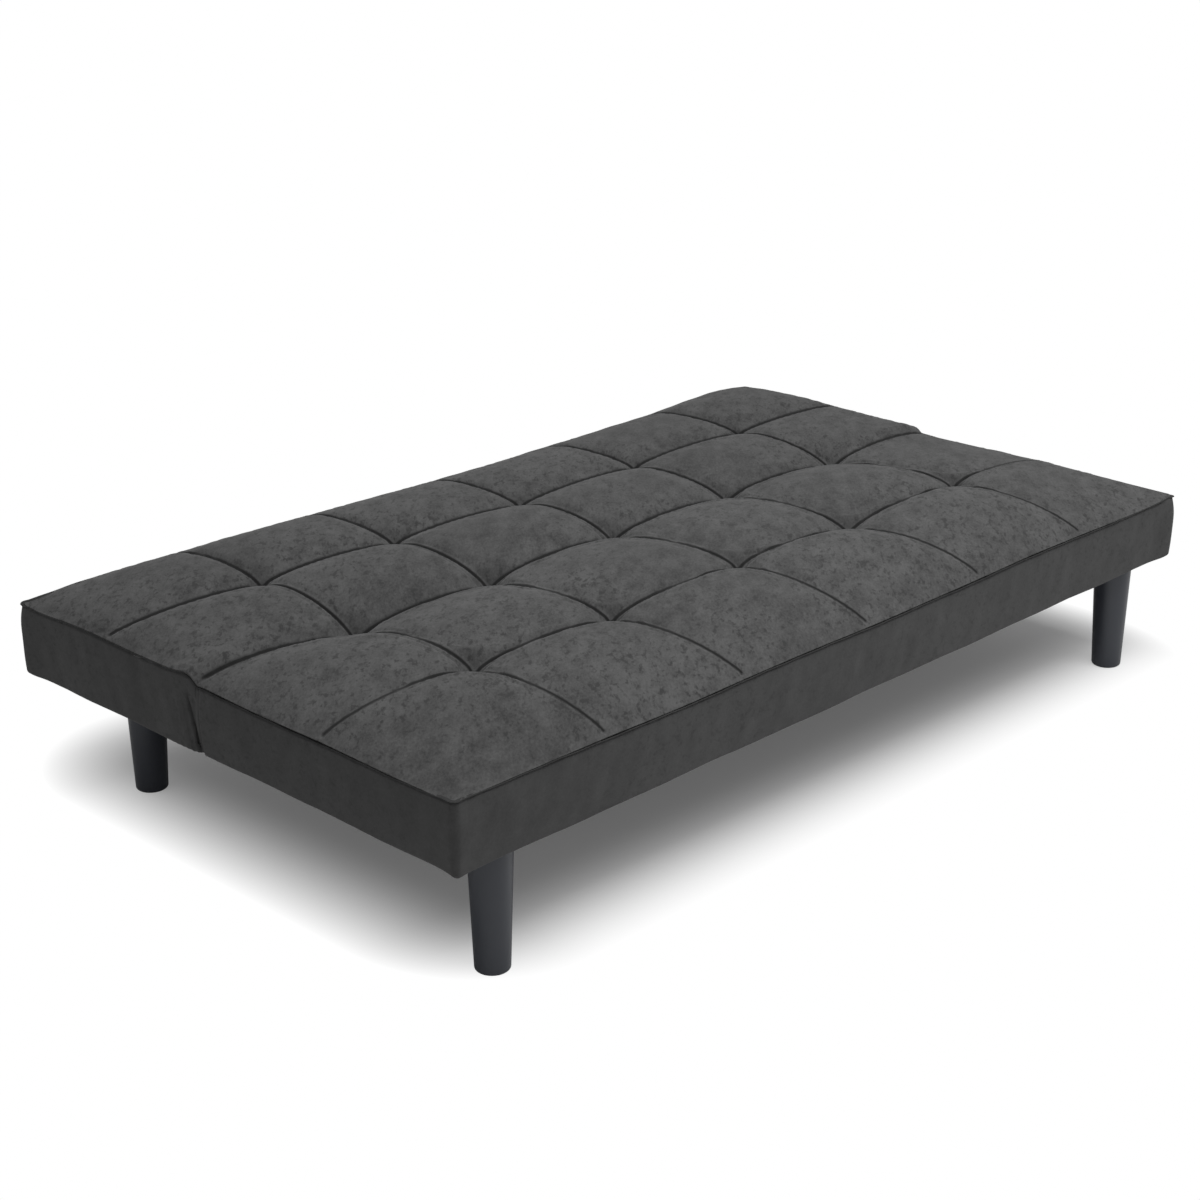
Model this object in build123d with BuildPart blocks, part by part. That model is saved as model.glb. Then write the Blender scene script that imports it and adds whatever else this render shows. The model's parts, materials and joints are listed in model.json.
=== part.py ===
from build123d import *
import math
import os

# A sofa bed that folds flat: a seat half and a back half, joined by two ratchet hinges at their ends.
# Millimetres, Z up, front towards -Y, drawn flat as a bed, standing on the floor at Z = 0.

# Driving dimensions
bed_length = 1780.0
seat_depth = 570.0
back_depth = 474.0
underside_height = 204.0
recline_limit = 80.0
columns = 6

# Wooden frame and suspension
dust_thickness = 1.0
rail_height = 60.0
rail_thickness = 25.0
slat_width = 70.0
slat_thickness = 18.0
webbing_width = 50.0
webbing_thickness = 2.0
foam_thickness = 52.0

# Side band and welt
band_wall = 12.0
band_bottom_tuck = 6.0
band_top_tuck = 5.0
band_corner_radius = 10.0
band_fullest = 0.62
split_gap = 2.0
split_bottom_tuck = 7.0
welt_thickness = 3.0
welt_tuck = 1.0

# Quilted top, heights measured from the top of the foam
quilt_tuck = 5.0
quilt_edge = 3.0
seat_tuft_height = 12.0
back_tuft_height = 6.0
seat_row_height = 28.0
back_row_height = 21.0
seat_seam_swell = 19.0
back_seam_swell = 14.0
seat_panel_swell = 18.0
back_panel_swell = 16.0
end_swell = 2.0
tie_radius = 1.5

# Legs, and the steel arms that carry the rear pair
front_leg_inset = 110.0
rear_leg_inset = 123.0
front_leg_setback = 50.0
rear_leg_reach = 321.0
leg_foot_radius = 26.5
leg_top_radius = 34.0
leg_edge_radius = 5.0
arm_width = 40.0
arm_height = 20.0
arm_wall = 2.0
arm_grip = 270.0
arm_overhang = 32.0
cap_thickness = 3.0
arm_bolt_inset = 30.0
buffer_thickness = 4.0
buffer_radius = 15.0
buffer_inset = 30.0

# Screws, nuts and their clearances
bolt_radius = 4.0
bolt_head_radius = 9.0
bolt_head_height = 4.5
nut_width = 13.0
nut_height = 6.5
slack = 0.15
tee_flange_radius = 11.0
tee_flange_height = 1.5
tee_barrel_radius = 5.5
tee_barrel_length = 12.0
stud_in_leg = 28.0

# Ratchet hinge, drawn about its pivot with Y towards the back and Z up
pivot_drop = 10.0
eye_radius = 8.0
hinge_head = 52.0
pin_radius = 4.0
running_fit = 0.05
cheek_thickness = 4.0
sector_thickness = 5.0
layer_gap = 0.3
strap_width = 28.0
strap_drop = -65.0
strap_start = 50.0
strap_end = 180.0
strap_bolts = (75.0, 160.0)
sector_radius = 30.0
notch_radius = 25.5
hub_radius = 12.0
pawl_pivot = (-30.0, -42.0)
pawl_boss_radius = 7.5
pawl_nose_radius = 2.2
pawl_nose_angle = -100.0
pawl_clearance = 0.6
pawl_pin_radius = 3.0
spring_pin = (-45.0, -58.0)
spring_pin_radius = 2.0
spring_tip = (-14.0, -42.9)
spring_thickness = 1.0
steep_angle = -103.6
lounge_angle = 40.0
sit_angle = 75.0

# Derived levels and positions
SEAT = -1
BACK = 1
LEFT = -1
RIGHT = 1
depths = {SEAT: seat_depth, BACK: back_depth}
undersides = {SEAT: underside_height, BACK: underside_height + buffer_thickness}
half_names = {SEAT: "seat", BACK: "back"}
outer_rail_names = {SEAT: "seat_front_rail", BACK: "back_rear_rail"}
hand_names = {LEFT: "left", RIGHT: "right"}

half_length = bed_length / 2
split_y = (seat_depth - back_depth) / 2
rail_top = underside_height + dust_thickness + rail_height
webbing_top = rail_top + webbing_thickness
foam_top = webbing_top + foam_thickness
band_top = foam_top - welt_thickness
pivot_height = foam_top - pivot_drop
fold_slope = math.tan(math.radians(recline_limit / 2 + 1))

frame_half_length = half_length - band_wall
split_wall = split_gap / 2 + band_wall
rail_face = frame_half_length - rail_thickness
hinge_stack = 2 * cheek_thickness + sector_thickness + 2 * layer_gap
hinge_zone = hinge_stack + 6.5
column_width = bed_length / columns
seam_places = [column_width * index - half_length for index in range(1, columns)]
front_leg_place = half_length - front_leg_inset
rear_leg_place = half_length - rear_leg_inset
tuft_heights = {SEAT: seat_tuft_height, BACK: back_tuft_height}
row_heights = {SEAT: seat_row_height, BACK: back_row_height}
seam_swells = {SEAT: seat_seam_swell, BACK: back_seam_swell}
panel_swells = {SEAT: seat_panel_swell, BACK: back_panel_swell}
arm_top = underside_height
arm_bottom = underside_height - arm_height
arm_bolt_places = (2 * arm_bolt_inset, arm_grip - arm_bolt_inset)
buffer_places = (buffer_inset, rear_leg_reach - buffer_inset)

os.makedirs("parts", exist_ok=True)


def save(builder, name):
    """Label a finished sub-part and write it to its own file."""
    builder.part.label = name
    export_step(builder.part, f"parts/{name}.step")


def across(side, distance):
    """Y of a place this far from the split, on the seat's or the back's side."""
    return split_y + side * distance


def board_top(side):
    """Top of the slats and end boards in one half."""
    return undersides[side] + dust_thickness + slat_thickness


def block(x_span, y_span, z_span, mode=Mode.ADD):
    """A box that fills three spans."""
    spans = [sorted(span) for span in (x_span, y_span, z_span)]
    centre = [(low + high) / 2 for low, high in spans]
    size = [high - low for low, high in spans]
    with Locations(tuple(centre)):
        Box(*size, mode=mode)


def round_bar(start, direction, radius, length, mode=Mode.ADD):
    """A round bar, or a bore, from a start point along a direction."""
    with Locations(Plane(origin=start, z_dir=direction)):
        Cylinder(radius, length, align=(Align.CENTER, Align.CENTER, Align.MIN), mode=mode)


def hinge_plane(hand, inward):
    """Plane of one hinge layer, this far in from the end rail, with its origin on the pivot."""
    return Plane(origin=(hand * (rail_face - inward), split_y, pivot_height), x_dir=(0, 1, 0), z_dir=(1, 0, 0))


def polar(radius, angle):
    """Point about the hinge pivot at an angle from the back's direction."""
    return (radius * math.cos(math.radians(angle)), radius * math.sin(math.radians(angle)))


# Cutters: the groove that lets the halves fold, and the room for the hinges
with BuildPart() as fold_groove:
    groove_rise = 80.0
    groove_half = split_gap / 2 + groove_rise * fold_slope
    with BuildSketch(Plane.YZ):
        with BuildLine():
            Polyline(
                (split_y - split_gap / 2, pivot_height),
                (split_y + split_gap / 2, pivot_height),
                (split_y + groove_half, pivot_height + groove_rise),
                (split_y - groove_half, pivot_height + groove_rise),
                close=True,
            )
        make_face()
    extrude(amount=half_length + 10, both=True)

with BuildPart() as hinge_room:
    for hand in (LEFT, RIGHT):
        room_x = (hand * (rail_face + 5), hand * (rail_face - hinge_zone))
        room_top = pivot_height + eye_radius + 1.5
        block(room_x, (split_y - strap_start - 6, split_y + strap_start + 6), (rail_top, room_top))
        block(room_x, (split_y - split_wall, split_y + split_wall), (pivot_height - hinge_head, room_top))


# Side bands: full at two thirds of their height, drawn in at the welt and at the lower edge
for side in (SEAT, BACK):
    depth = depths[side]
    low = undersides[side]
    with BuildPart() as boxing:
        for share, tuck in ((0.0, band_bottom_tuck), (band_fullest, 0.0), (1.0, band_top_tuck)):
            inner = split_gap / 2 + split_bottom_tuck * (1 - share) ** 2
            outer = depth - tuck
            with BuildSketch(Plane.XY.offset(low + share * (band_top - low))):
                with Locations((0, across(side, (inner + outer) / 2))):
                    RectangleRounded(bed_length - 2 * tuck, outer - inner, band_corner_radius)
        loft()
        block(
            (-frame_half_length, frame_half_length),
            (across(side, split_wall), across(side, depth - band_wall)),
            (low - 5, band_top + 5),
            mode=Mode.SUBTRACT,
        )
        add(fold_groove.part, mode=Mode.SUBTRACT)
        add(hinge_room.part, mode=Mode.SUBTRACT)
    save(boxing, f"{half_names[side]}_boxing")


# Welts: a flat flange sewn between band and top panel
for side in (SEAT, BACK):
    depth = depths[side]
    with BuildPart() as welt:
        with BuildSketch(Plane.XY.offset(band_top)):
            outer = depth - welt_tuck
            with Locations((0, across(side, outer / 2))):
                RectangleRounded(bed_length - 2 * welt_tuck, outer, band_corner_radius - welt_tuck)
            with Locations((0, across(side, (split_wall + depth - band_wall) / 2))):
                Rectangle(2 * frame_half_length, depth - band_wall - split_wall, mode=Mode.SUBTRACT)
        extrude(amount=welt_thickness)
        add(fold_groove.part, mode=Mode.SUBTRACT)
    save(welt, f"{half_names[side]}_welt")


# Quilted tops: crowned panels, pulled down along the seams and deepest at the tufts
def quilt_profile(side, place, row_height, swell):
    """Outline of one half's top across its depth: two arcs that meet on the row seam."""
    rim = foam_top + quilt_edge
    inner = across(side, split_gap / 2 + (pivot_drop + quilt_edge) * fold_slope)
    outer = across(side, depths[side] - quilt_tuck)
    row = across(side, depths[side] / 2)
    seam = foam_top + row_height
    crest = (rim + seam) / 2 + swell
    with BuildSketch(Plane.YZ.offset(place)) as profile:
        with BuildLine():
            Polyline((outer, rim), (outer, foam_top), (inner, foam_top), (inner, rim))
            ThreePointArc((inner, rim), ((inner + row) / 2, crest), (row, seam))
            ThreePointArc((row, seam), ((row + outer) / 2, crest), (outer, rim))
        make_face()
    return profile.sketch


for side in (SEAT, BACK):
    row = across(side, depths[side] / 2)
    ends = half_length - quilt_tuck
    edges = [-ends] + seam_places + [ends]
    with BuildPart() as quilt:
        for start, end in zip(edges[:-1], edges[1:]):
            outlines = []
            for place in (start, (start + end) / 2, end):
                if abs(place) == ends:
                    outlines.append(quilt_profile(side, place, quilt_edge, end_swell))
                elif place in seam_places:
                    outlines.append(quilt_profile(side, place, tuft_heights[side], seam_swells[side]))
                else:
                    outlines.append(quilt_profile(side, place, row_heights[side], panel_swells[side]))
            loft(sections=outlines)
        add(fold_groove.part, mode=Mode.SUBTRACT)
        for place in seam_places:
            round_bar((place, row, foam_top - 1), (0, 0, 1), tie_radius + slack, 4 * seat_tuft_height, mode=Mode.SUBTRACT)
    save(quilt, f"{half_names[side]}_quilted_top")


# Foam slabs, with room for the hinges and bores for the tuft twines
for side in (SEAT, BACK):
    row = across(side, depths[side] / 2)
    with BuildPart() as foam:
        block(
            (-frame_half_length, frame_half_length),
            (across(side, split_wall), across(side, depths[side] - band_wall)),
            (webbing_top, foam_top),
        )
        add(fold_groove.part, mode=Mode.SUBTRACT)
        add(hinge_room.part, mode=Mode.SUBTRACT)
        for place in seam_places:
            round_bar((place, row, webbing_top - 1), (0, 0, 1), 2 * tie_radius, foam_thickness + 2, mode=Mode.SUBTRACT)
    save(foam, f"{half_names[side]}_foam")


# Tuft twines, each stapled to the slat under it
for side in (SEAT, BACK):
    row = across(side, depths[side] / 2)
    with BuildPart() as ties:
        for place in seam_places:
            twine = foam_top + tuft_heights[side] - 1.5 - board_top(side)
            round_bar((place, row, board_top(side)), (0, 0, 1), tie_radius, twine)
            block((place - 12, place + 12), (row - 7, row + 7), (board_top(side), board_top(side) + 2))
    save(ties, f"{half_names[side]}_tuft_ties")


# Webbing straps, stapled on top of the rails, two under each column of panels
for side in (SEAT, BACK):
    with BuildPart() as webbing:
        for index in range(columns):
            centre = (index + 0.5) * column_width - half_length
            for offset_share in (-0.17, 0.17):
                place = centre + offset_share * column_width
                block(
                    (place - webbing_width / 2, place + webbing_width / 2),
                    (across(side, split_wall), across(side, depths[side] - band_wall)),
                    (rail_top, webbing_top),
                )
    save(webbing, f"{half_names[side]}_webbing")


# Rails along the bed
for side in (SEAT, BACK):
    rail_z = (undersides[side] + dust_thickness, rail_top)
    outer_face = depths[side] - band_wall
    with BuildPart() as outer_rail:
        block(
            (-frame_half_length, frame_half_length),
            (across(side, outer_face), across(side, outer_face - rail_thickness)),
            rail_z,
        )
    save(outer_rail, outer_rail_names[side])
    with BuildPart() as inner_rail:
        block(
            (hinge_zone - rail_face, rail_face - hinge_zone),
            (across(side, split_wall), across(side, split_wall + rail_thickness)),
            rail_z,
        )
    save(inner_rail, f"{half_names[side]}_inner_rail")


# End rails, bored for the hinge bolts; the back's are thicker, so that its plates run between the cheeks
end_rail_faces = {SEAT: rail_face, BACK: rail_face - cheek_thickness - layer_gap}
for side in (SEAT, BACK):
    for hand in (LEFT, RIGHT):
        with BuildPart() as end_rail:
            block(
                (hand * frame_half_length, hand * end_rail_faces[side]),
                (across(side, split_wall), across(side, depths[side] - band_wall - rail_thickness)),
                (undersides[side] + dust_thickness, rail_top),
            )
            for reach in strap_bolts:
                head = (hand * frame_half_length, across(side, reach), pivot_height + strap_drop)
                inward = (-hand, 0, 0)
                round_bar(head, inward, bolt_head_radius + 1, bolt_head_height + 0.5, mode=Mode.SUBTRACT)
                round_bar(head, inward, bolt_radius + slack, 2 * rail_thickness, mode=Mode.SUBTRACT)
        save(end_rail, f"{half_names[side]}_{hand_names[hand]}_end_rail")


# Slats under the seams, and wide end boards that take the legs and arms
seat_bolt_spots = [(front_leg_place, across(SEAT, seat_depth - front_leg_setback))]
seat_bolt_spots += [(rear_leg_place, across(SEAT, reach)) for reach in arm_bolt_places]
for side in (SEAT, BACK):
    near = across(side, split_wall + rail_thickness)
    far = across(side, depths[side] - band_wall - rail_thickness)
    board_z = (undersides[side] + dust_thickness, board_top(side))
    with BuildPart() as slats:
        for place in seam_places:
            block((place - slat_width / 2, place + slat_width / 2), (near, far), board_z)
        for hand in (LEFT, RIGHT):
            board_edge = min(front_leg_place, rear_leg_place) - slat_width / 2
            block((hand * board_edge, hand * end_rail_faces[side]), (near, far), board_z)
        if side == SEAT:
            for hand in (LEFT, RIGHT):
                for x, y in seat_bolt_spots:
                    bottom = (hand * x, y, underside_height)
                    round_bar(bottom, (0, 0, 1), tee_barrel_radius + slack, 2 * slat_thickness, mode=Mode.SUBTRACT)
    save(slats, f"{half_names[side]}_slats")


# Dust covers under the frames, pierced for the leg studs and arm bolts
for side in (SEAT, BACK):
    with BuildPart() as dust_cover:
        block(
            (-frame_half_length, frame_half_length),
            (across(side, split_wall), across(side, depths[side] - band_wall)),
            (undersides[side], undersides[side] + dust_thickness),
        )
        if side == SEAT:
            for hand in (LEFT, RIGHT):
                for x, y in seat_bolt_spots:
                    bottom = (hand * x, y, underside_height - 1)
                    round_bar(bottom, (0, 0, 1), bolt_radius + 0.6, dust_thickness + 2, mode=Mode.SUBTRACT)
    save(dust_cover, f"{half_names[side]}_dust_cover")


# Legs: round and tapered, with a softened foot and a bore for the stud
leg_spots = {
    "front": (front_leg_place, across(SEAT, seat_depth - front_leg_setback), underside_height),
    "rear": (rear_leg_place, across(BACK, rear_leg_reach), arm_bottom),
}
for end_name, (leg_x, leg_y, leg_top) in leg_spots.items():
    top_radius = leg_foot_radius + (leg_top_radius - leg_foot_radius) * leg_top / underside_height
    for hand in (LEFT, RIGHT):
        with BuildPart() as leg:
            with BuildSketch(Plane(origin=(hand * leg_x, leg_y, 0), x_dir=(1, 0, 0), z_dir=(0, -1, 0))):
                with BuildLine():
                    Polyline((0, 0), (leg_foot_radius, 0), (top_radius, leg_top), (0, leg_top), close=True)
                make_face()
            revolve(axis=Axis((hand * leg_x, leg_y, 0), (0, 0, 1)))
            fillet(leg.edges().sort_by(Axis.Z)[0], leg_edge_radius)
            bore_start = (hand * leg_x, leg_y, leg_top - stud_in_leg - 2)
            round_bar(bore_start, (0, 0, 1), bolt_radius + slack, stud_in_leg + 2, mode=Mode.SUBTRACT)
        save(leg, f"{end_name}_{hand_names[hand]}_leg")


# Rear arms: rectangular tubes bolted under the seat, with the rear legs at their ends
arm_start = across(SEAT, arm_grip)
arm_end = across(BACK, rear_leg_reach + arm_overhang)
for hand in (LEFT, RIGHT):
    x = hand * rear_leg_place
    with BuildPart() as arm:
        block((x - arm_width / 2, x + arm_width / 2), (arm_start, arm_end), (arm_bottom, arm_top))
        fillet(arm.edges().filter_by(Axis.Y), arm_wall + 1)
        block(
            (x - arm_width / 2 + arm_wall, x + arm_width / 2 - arm_wall),
            (arm_start, arm_end),
            (arm_bottom + arm_wall, arm_top - arm_wall),
            mode=Mode.SUBTRACT,
        )
        for reach in arm_bolt_places:
            under = (x, across(SEAT, reach), arm_bottom - 1)
            round_bar(under, (0, 0, 1), bolt_radius + slack, arm_height + 2, mode=Mode.SUBTRACT)
        under_leg = (x, across(BACK, rear_leg_reach), arm_bottom - 1)
        round_bar(under_leg, (0, 0, 1), bolt_radius + slack, arm_wall + 2, mode=Mode.SUBTRACT)
        for reach in buffer_places:
            inside = (x, across(BACK, reach), arm_top - arm_wall - 1)
            round_bar(inside, (0, 0, 1), bolt_radius + slack, arm_wall + 2, mode=Mode.SUBTRACT)
    save(arm, f"{hand_names[hand]}_rear_arm")

with BuildPart() as arm_caps:
    for hand in (LEFT, RIGHT):
        x = hand * rear_leg_place
        for end_y, outward in ((arm_start, -1), (arm_end, 1)):
            middle = (arm_bottom + arm_top) / 2
            plug_half_width = arm_width / 2 - arm_wall - slack
            plug_half_height = arm_height / 2 - arm_wall - slack
            block(
                (x - arm_width / 2, x + arm_width / 2),
                (end_y, end_y + outward * cap_thickness),
                (arm_bottom, arm_top),
            )
            block(
                (x - plug_half_width, x + plug_half_width),
                (end_y, end_y - outward * 14),
                (middle - plug_half_height, middle + plug_half_height),
            )
save(arm_caps, "arm_end_caps")

with BuildPart() as buffers:
    for hand in (LEFT, RIGHT):
        for reach in buffer_places:
            seat_point = (hand * rear_leg_place, across(BACK, reach), arm_top)
            round_bar(seat_point, (0, 0, 1), buffer_radius, buffer_thickness)
            round_bar(seat_point, (0, 0, -1), bolt_radius, arm_wall + 4)
save(buffers, "rest_buffers")


# Studs, bolts and nuts of the legs and arms
with BuildPart() as leg_studs:
    for hand in (LEFT, RIGHT):
        front_x, front_y, front_top = leg_spots["front"]
        rear_x, rear_y, rear_top = leg_spots["rear"]
        front_length = stud_in_leg + board_top(SEAT) - underside_height + 1
        rear_length = stud_in_leg + arm_wall + nut_height + 1
        round_bar((hand * front_x, front_y, front_top - stud_in_leg), (0, 0, 1), bolt_radius, front_length)
        round_bar((hand * rear_x, rear_y, rear_top - stud_in_leg), (0, 0, 1), bolt_radius, rear_length)
save(leg_studs, "leg_studs")

with BuildPart() as arm_bolts:
    for hand in (LEFT, RIGHT):
        for reach in arm_bolt_places:
            under = (hand * rear_leg_place, across(SEAT, reach), arm_bottom)
            round_bar(under, (0, 0, -1), bolt_head_radius, bolt_head_height)
            round_bar(under, (0, 0, 1), bolt_radius, board_top(SEAT) - arm_bottom + 1)
save(arm_bolts, "arm_bolts")

with BuildPart() as tee_nuts:
    for hand in (LEFT, RIGHT):
        for x, y in seat_bolt_spots:
            on_board = (hand * x, y, board_top(SEAT))
            round_bar(on_board, (0, 0, 1), tee_flange_radius, tee_flange_height)
            round_bar(on_board, (0, 0, -1), tee_barrel_radius, tee_barrel_length)
            in_board = (hand * x, y, board_top(SEAT) - tee_barrel_length - 1)
            round_bar(in_board, (0, 0, 1), bolt_radius + slack, tee_barrel_length + 5, mode=Mode.SUBTRACT)
save(tee_nuts, "tee_nuts")

with BuildPart() as weld_nuts:
    for hand in (LEFT, RIGHT):
        nut_spot = (hand * rear_leg_place, leg_spots["rear"][1], arm_bottom + arm_wall)
        with BuildSketch(Plane(origin=nut_spot, z_dir=(0, 0, 1))):
            RegularPolygon(nut_width / 2, 6, major_radius=False)
            Circle(bolt_radius + slack, mode=Mode.SUBTRACT)
        extrude(amount=nut_height)
save(weld_nuts, "leg_weld_nuts")


# Hinge bolts and nuts, through the end rails and the plates
plate_inner_faces = {
    SEAT: rail_face - cheek_thickness,
    BACK: end_rail_faces[BACK] - sector_thickness,
}
for side in (SEAT, BACK):
    plate_face = plate_inner_faces[side]
    with BuildPart() as hinge_bolts:
        for hand in (LEFT, RIGHT):
            for reach in strap_bolts:
                y = across(side, reach)
                z = pivot_height + strap_drop
                head_face = frame_half_length - bolt_head_height
                round_bar((hand * head_face, y, z), (hand, 0, 0), bolt_head_radius, bolt_head_height - 0.5)
                shank = head_face - plate_face + nut_height + 1
                round_bar((hand * head_face, y, z), (-hand, 0, 0), bolt_radius, shank)
    save(hinge_bolts, f"hinge_{half_names[side]}_bolts")
    with BuildPart() as hinge_nuts:
        for hand in (LEFT, RIGHT):
            for reach in strap_bolts:
                spot = (hand * plate_face, across(side, reach), pivot_height + strap_drop)
                with BuildSketch(Plane(origin=spot, x_dir=(0, 1, 0), z_dir=(-hand, 0, 0))):
                    RegularPolygon(nut_width / 2, 6, major_radius=False)
                    Circle(bolt_radius + slack, mode=Mode.SUBTRACT)
                extrude(amount=nut_height)
    save(hinge_nuts, f"hinge_{half_names[side]}_nuts")


# Ratchet hinges: two fixed cheeks on the seat, a toothed plate on the back, and a pawl between the cheeks
sit_face = steep_angle - sit_angle
lounge_face = steep_angle - lounge_angle
nose_centre = polar(sector_radius + pawl_clearance + pawl_nose_radius, pawl_nose_angle)

for hand in (LEFT, RIGHT):
    hand_name = hand_names[hand]

    with BuildPart() as seat_plate:
        with BuildSketch(hinge_plane(hand, 0)):
            Circle(eye_radius)
            with Locations(pawl_pivot):
                Circle(pawl_boss_radius + 1.5)
            with Locations((-strap_start, strap_drop)):
                Circle(strap_width / 2)
            make_hull()
            with Locations((-(strap_start + strap_end) / 2, strap_drop)):
                SlotCenterToCenter(strap_end - strap_start, strap_width)
            Circle(pin_radius + running_fit, mode=Mode.SUBTRACT)
            with Locations(pawl_pivot):
                Circle(pawl_pin_radius + running_fit, mode=Mode.SUBTRACT)
            with Locations(spring_pin):
                Circle(spring_pin_radius + running_fit, mode=Mode.SUBTRACT)
            with Locations(*[(-reach, strap_drop) for reach in strap_bolts]):
                Circle(bolt_radius + slack, mode=Mode.SUBTRACT)
        extrude(amount=-hand * cheek_thickness)
    save(seat_plate, f"{hand_name}_seat_plate")

    with BuildPart() as cover_plate:
        with BuildSketch(hinge_plane(hand, hinge_stack - cheek_thickness)):
            Circle(eye_radius)
            with Locations(pawl_pivot):
                Circle(pawl_boss_radius + 1.5)
            with Locations(spring_pin):
                Circle(spring_pin_radius + 3)
            make_hull()
            Circle(pin_radius + running_fit, mode=Mode.SUBTRACT)
            with Locations(pawl_pivot):
                Circle(pawl_pin_radius + running_fit, mode=Mode.SUBTRACT)
            with Locations(spring_pin):
                Circle(spring_pin_radius + running_fit, mode=Mode.SUBTRACT)
        extrude(amount=-hand * cheek_thickness)
    save(cover_plate, f"{hand_name}_cover_plate")

    with BuildPart() as back_plate:
        with BuildSketch(hinge_plane(hand, cheek_thickness + layer_gap)):
            Circle(eye_radius)
            with Locations((strap_start, strap_drop)):
                Circle(strap_width / 2)
            make_hull()
            with Locations(((strap_start + strap_end) / 2, strap_drop)):
                SlotCenterToCenter(strap_end - strap_start, strap_width)
            with BuildLine():
                Line((0, 0), polar(sector_radius, sit_face))
                CenterArc((0, 0), sector_radius, sit_face, 18)
                Line(polar(sector_radius, sit_face + 18), polar(notch_radius, lounge_face - 2))
                Line(polar(notch_radius, lounge_face - 2), polar(notch_radius, lounge_face))
                Line(polar(notch_radius, lounge_face), polar(sector_radius, lounge_face))
                CenterArc((0, 0), sector_radius, lounge_face, 10)
                Line(polar(sector_radius, lounge_face + 10), polar(hub_radius, lounge_face + 32))
                Line(polar(hub_radius, lounge_face + 32), (0, 0))
            make_face()
            Circle(pin_radius + running_fit, mode=Mode.SUBTRACT)
            with Locations(*[(reach, strap_drop) for reach in strap_bolts]):
                Circle(bolt_radius + slack, mode=Mode.SUBTRACT)
        extrude(amount=-hand * sector_thickness)
    save(back_plate, f"{hand_name}_back_plate")

    with BuildPart() as pawl:
        with BuildSketch(hinge_plane(hand, cheek_thickness + layer_gap)):
            with Locations(pawl_pivot):
                Circle(pawl_boss_radius)
            with Locations(nose_centre):
                Circle(pawl_nose_radius)
            make_hull()
            with Locations(pawl_pivot):
                Circle(pawl_pin_radius + running_fit, mode=Mode.SUBTRACT)
        extrude(amount=-hand * sector_thickness)
    save(pawl, f"{hand_name}_pawl")

    with BuildPart() as pawl_spring:
        with BuildSketch(hinge_plane(hand, cheek_thickness + layer_gap + 0.5)):
            with Locations(spring_pin):
                Circle(spring_pin_radius + 1.5)
            with BuildLine():
                lean = math.atan2(spring_tip[1] - spring_pin[1], spring_tip[0] - spring_pin[0])
                drop_y = spring_thickness * math.sin(lean)
                drop_z = spring_thickness * math.cos(lean)
                Polyline(
                    spring_pin,
                    spring_tip,
                    (spring_tip[0] + drop_y, spring_tip[1] - drop_z),
                    (spring_pin[0] + drop_y, spring_pin[1] - drop_z),
                    close=True,
                )
            make_face()
            with Locations(spring_pin):
                Circle(spring_pin_radius + running_fit, mode=Mode.SUBTRACT)
        extrude(amount=-hand * (sector_thickness - 1))
    save(pawl_spring, f"{hand_name}_pawl_spring")

    with BuildPart() as rivets:
        inward = (-hand, 0, 0)
        outer_face = hand * rail_face
        inner_face = hand * (rail_face - hinge_stack)
        pivot_y, pivot_z = split_y, pivot_height
        round_bar((outer_face, pivot_y, pivot_z), (hand, 0, 0), pin_radius + 3, 3)
        round_bar((outer_face, pivot_y, pivot_z), inward, pin_radius, hinge_stack)
        round_bar((inner_face, pivot_y, pivot_z), inward, pin_radius + 3, 3)
        for (y, z), radius in ((pawl_pivot, pawl_pin_radius), (spring_pin, spring_pin_radius)):
            round_bar((outer_face, pivot_y + y, pivot_z + z), inward, radius, hinge_stack)
            round_bar((inner_face, pivot_y + y, pivot_z + z), inward, radius + 2, 2)
    save(rivets, f"{hand_name}_hinge_rivets")


# Cloth over the fold, and the gathered cloth that closes the split at each end
with BuildPart() as fold_strip:
    strip_low = eye_radius + 0.3
    strip_high = strip_low + 1.2
    strip_half = split_gap / 2 + strip_low * fold_slope - 0.5
    block(
        (-half_length + 8, half_length - 8),
        (split_y - strip_half, split_y + strip_half),
        (pivot_height + strip_low, pivot_height + strip_high),
    )
save(fold_strip, "fold_strip")

for hand in (LEFT, RIGHT):
    with BuildPart() as gusset:
        block(
            (hand * (half_length - 6), hand * (rail_face + 8)),
            (split_y - split_gap / 4, split_y + split_gap / 4),
            (underside_height + 8, pivot_height - 4),
        )
    save(gusset, f"{hand_names[hand]}_end_gusset")
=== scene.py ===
"""Looks of a tufted sofa bed, laid flat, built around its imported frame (metres, Z up, front towards -Y)."""

import json
import logging
import math
from collections.abc import Callable
from dataclasses import dataclass, field
from enum import Enum

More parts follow.
